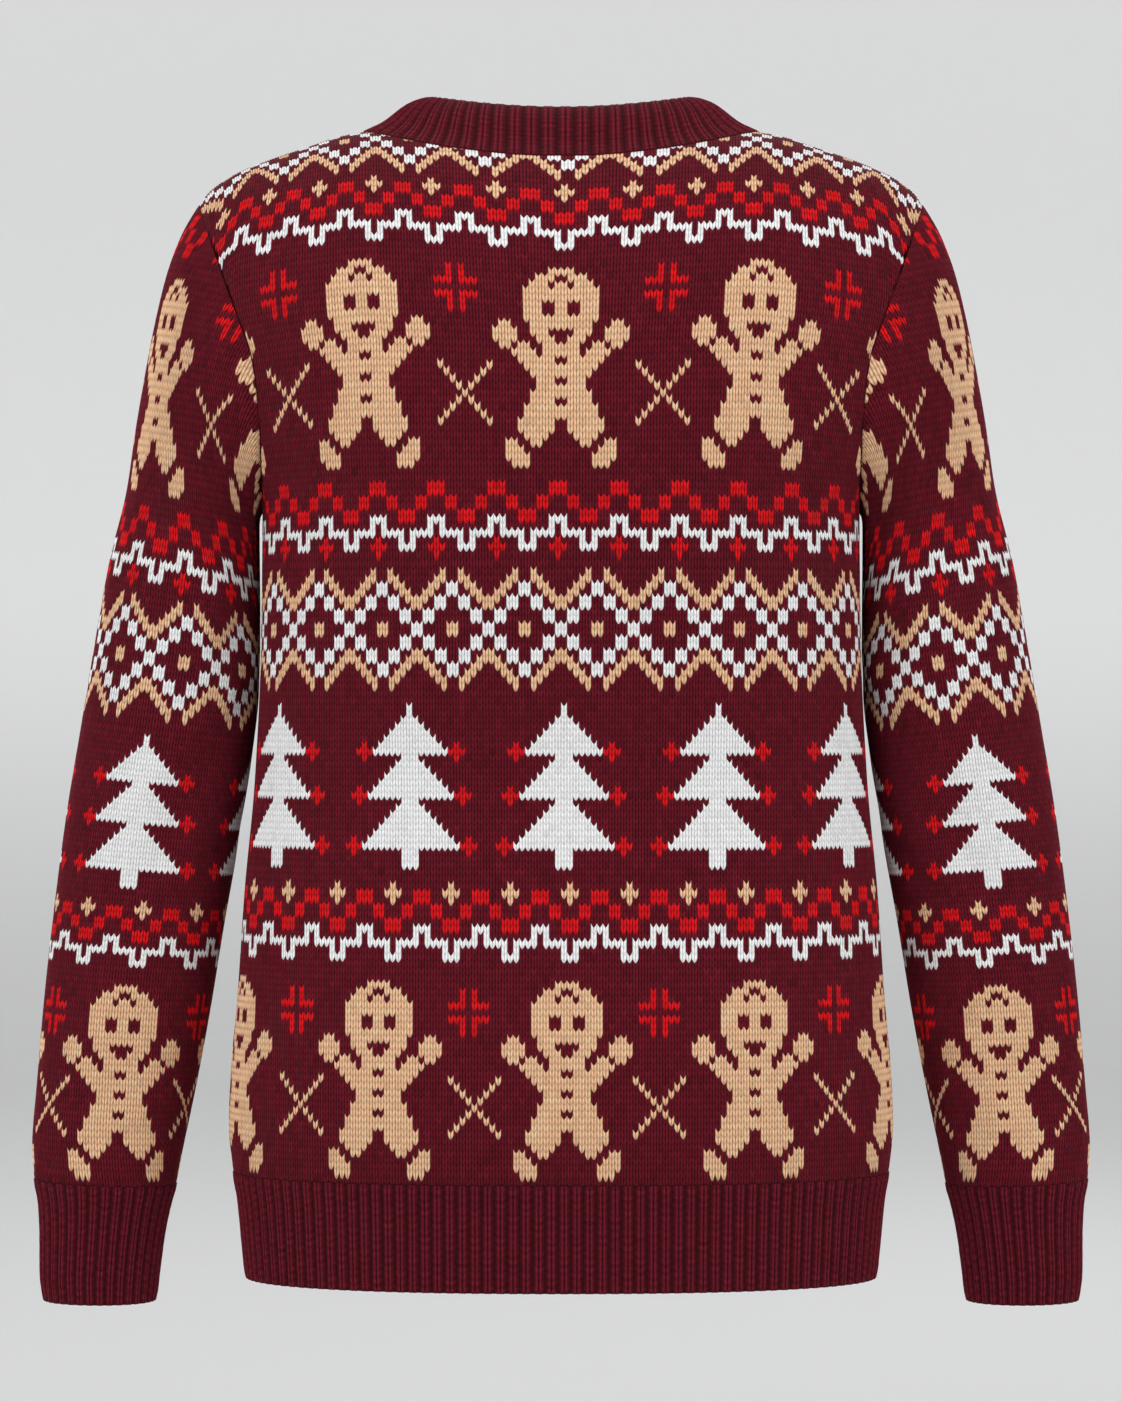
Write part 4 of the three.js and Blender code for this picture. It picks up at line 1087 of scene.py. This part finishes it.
def knitMaterial(name, depth, heather, bump, roughness, sheen):
    # Depth is how dark the painted shade in the hollows gets, heather how far the fibres' tone wanders
    material = bpy.data.materials.new(name)
    material.use_nodes = True
    tree = material.node_tree
    shader = tree.nodes["Principled BSDF"]
    uv = tree.nodes.new("ShaderNodeUVMap")
    uv.uv_map = "stitches"
    yarn = tree.nodes.new("ShaderNodeAttribute")
    yarn.attribute_name = "yarn"
    shape = addGroup(tree, stitchGroup)
    toneAndShade = addGroup(tree, hollowShadeGroup)
    link(tree, uv.outputs[0], shape.inputs["Places"])
    link(tree, yarn.outputs["Color"], toneAndShade.inputs["Colour"])
    # Hollows are less dark between pale stitches, which light each other
    parts = tree.nodes.new("ShaderNodeSeparateColor")
    link(tree, yarn.outputs["Color"], parts.inputs[0])
    pale = calc(tree, "SUBTRACT", 1.0, calc(tree, "MULTIPLY", parts.outputs["Blue"], 0.5))
    link(tree, calc(tree, "MULTIPLY", pale, depth), toneAndShade.inputs["Depth"])
    link(tree, shape.outputs["Hollow"], toneAndShade.inputs["Hollow"])
    link(tree, shape.outputs["Fibre"], toneAndShade.inputs["Fibre"])
    toneAndShade.inputs["Heather"].default_value = heather
    fibre = calc(tree, "MULTIPLY", shape.outputs["Fibre"], 0.35)
    height = calc(tree, "ADD", shape.outputs["Height"], fibre)
    press = tree.nodes.new("ShaderNodeBump")
    press.inputs["Strength"].default_value = bump
    press.inputs["Distance"].default_value = 0.0006
    link(tree, height, press.inputs["Height"])
    # The base colour carries the painted shade of the stitches' hollows
    link(tree, toneAndShade.outputs["Colour"], shader.inputs["Base Color"])
    link(tree, press.outputs[0], shader.inputs["Normal"])
    shader.inputs["Roughness"].default_value = roughness
    shader.inputs["Specular IOR Level"].default_value = 0.1
    shader.inputs["Sheen Weight"].default_value = sheen
    shader.inputs["Sheen Roughness"].default_value = 0.5
    shader.inputs["Sheen Tint"].default_value = sheenTint
    return material


def paperMaterial():
    # The paper is a little paler up the wall, so that floor and wall look alike: the floor's darker colour is
    # painted shade that evens out the stronger light it gets
    material = bpy.data.materials.new("studioPaper")
    material.use_nodes = True
    tree = material.node_tree
    shader = tree.nodes["Principled BSDF"]
    shader.inputs["Roughness"].default_value = 0.9
    shader.inputs["Specular IOR Level"].default_value = 0.1
    place = tree.nodes.new("ShaderNodeTexCoord")
    split = tree.nodes.new("ShaderNodeSeparateXYZ")
    link(tree, place.outputs["Object"], split.inputs[0])
    rise = tree.nodes.new("ShaderNodeMapRange")
    rise.interpolation_type = "SMOOTHSTEP"
    link(tree, split.outputs["Z"], rise.inputs["Value"])
    rise.inputs["From Min"].default_value = studio["floorHeight"]
    rise.inputs["From Max"].default_value = studio["floorHeight"] + studio["paleFrom"] * studio["curve"]
    blend = tree.nodes.new("ShaderNodeMix")
    blend.data_type = "RGBA"
    link(tree, rise.outputs[0], blend.inputs["Factor"])
    colours = [socket for socket in blend.inputs if socket.type == "RGBA"]
    colours[0].default_value = (*studio["floor"], 1)
    colours[1].default_value = (*studio["wall"], 1)
    mixed = [socket for socket in blend.outputs if socket.type == "RGBA"][0]
    link(tree, mixed, shader.inputs["Base Color"])
    return material


def makeCamera():
    data = bpy.data.cameras.new("camera")
    data.sensor_fit = "VERTICAL"
    data.angle = math.radians(camera["angle"])
    made = bpy.data.objects.new("camera", data)
    made.location = (0, -camera["distance"], camera["height"])
    made.rotation_euler = (math.pi / 2, 0, 0)
    bpy.context.scene.collection.objects.link(made)
    bpy.context.scene.camera = made


def liesAt(room, part, height):
    return all(abs(room.data.vertices[v].co.z - height) < 1e-3 for v in part.vertices)


def makeStudio():
    # A round pale studio whose floor curves up into its wall
    bpy.ops.mesh.primitive_cylinder_add(
        vertices=128, radius=studio["radius"], depth=studio["height"], end_fill_type="NGON",
        location=(0, 0, studio["floorHeight"] + studio["height"] / 2),
    )
    room = bpy.context.object
    room.name = "studio"
    bpy.ops.object.transform_apply(location=True, rotation=True, scale=True)
    bpy.ops.object.mode_set(mode="EDIT")
    bpy.ops.mesh.select_all(action="DESELECT")
    bpy.ops.object.mode_set(mode="OBJECT")
    top = studio["floorHeight"] + studio["height"]
    for polygon in room.data.polygons:
        polygon.select = liesAt(room, polygon, top)
    bpy.ops.object.mode_set(mode="EDIT")
    bpy.ops.mesh.select_mode(type="FACE")
    bpy.ops.mesh.delete(type="FACE")
    bpy.ops.object.mode_set(mode="OBJECT")
    for edge in room.data.edges:
        edge.select = liesAt(room, edge, studio["floorHeight"])
    bpy.ops.object.mode_set(mode="EDIT")
    bpy.ops.mesh.select_mode(type="EDGE")
    bpy.ops.mesh.bevel(offset=studio["curve"], segments=16, profile=0.5, affect="EDGES")
    bpy.ops.mesh.select_all(action="SELECT")
    bpy.ops.mesh.normals_make_consistent(inside=True)
    bpy.ops.object.mode_set(mode="OBJECT")
    bpy.ops.object.shade_smooth()
    room.data.materials.append(paperMaterial())


def addLight(name, place, size, power):
    data = bpy.data.lights.new(name, "AREA")
    data.shape = "SQUARE"
    data.size = size
    data.energy = power
    made = bpy.data.objects.new(name, data)
    made.location = place
    x, y, z = np.array(lightTarget) - np.array(place)
    made.rotation_euler = (math.atan2(math.hypot(x, y), -z), 0, math.atan2(y, x) - math.pi / 2)
    bpy.context.scene.collection.objects.link(made)


def makeLights():
    for name, (place, size, power) in lights.items():
        addLight(name, place, size, power)
    world = bpy.data.worlds.new("world")
    world.use_nodes = True
    background = world.node_tree.nodes["Background"]
    background.inputs[0].default_value = (*studio["skyColour"], 1)
    background.inputs[1].default_value = studio["sky"]
    bpy.context.scene.world = world
    bpy.context.scene.view_settings.view_transform = "Standard"


makeCamera()
makeStudio()
makeLights()
print("stage ready")

bodyChart = paintChart(bodyLayout, bodyHalf)
sleeveChart = paintChart(sleeveLayout, sleeveHalf)
jacquard = knitMaterial("jacquardKnit", **looks["jacquard"])
ribbing = knitMaterial("ribKnit", **looks["rib"])


def finishPiece(made, area, material):
    name = made.name.replace("Visual", "")
    made.data.materials.append(material)
    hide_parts(name)
    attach(made, "root")
    print(name, "triangles", len(made.data.polygons), "area", round(area, 4))


# The charts are seen from outside, so the front's and the sleeves' wales count the other way
piece, area = knitPiece(
    "back_panelVisual", lambda w, c: panelGrid("back", w, c), bodyHalf, bodyChart, False, 3,
)
finishPiece(piece, area, jacquard)
print("back ready")
piece, area = knitPiece(
    "front_panelVisual", lambda w, c: panelGrid("front", -np.asarray(w), c), bodyHalf, bodyChart, False, 5,
)
finishPiece(piece, area, jacquard)
print("front ready")
for name, mirror, seed in (("sleeve_right", False, 7), ("sleeve_left", True, 9)):
    folds = sleeveFolds[name.removeprefix("sleeve_")]
    piece, area = knitPiece(
        name + "Visual", lambda w, c: sleeveGrid(-np.asarray(w), c, folds), sleeveHalf, sleeveChart[:, ::-1],
        mirror, seed,
    )
    finishPiece(piece, area, jacquard)
print("sleeves ready")
piece, area = ribPiece("hem_bandVisual", hemLoops(), ribs["hem"], matched=True)
finishPiece(piece, area, ribbing)
for name, mirror in (("cuff_right", False), ("cuff_left", True)):
    piece, area = ribPiece(name + "Visual", cuffLoops(), ribs["cuff"], mirror=mirror)
    finishPiece(piece, area, ribbing)
piece, area = ribPiece("neckbandVisual", neckLoops(), ribs["neck"], endUp=True, matched=True)
finishPiece(piece, area, ribbing)
print("bands ready")
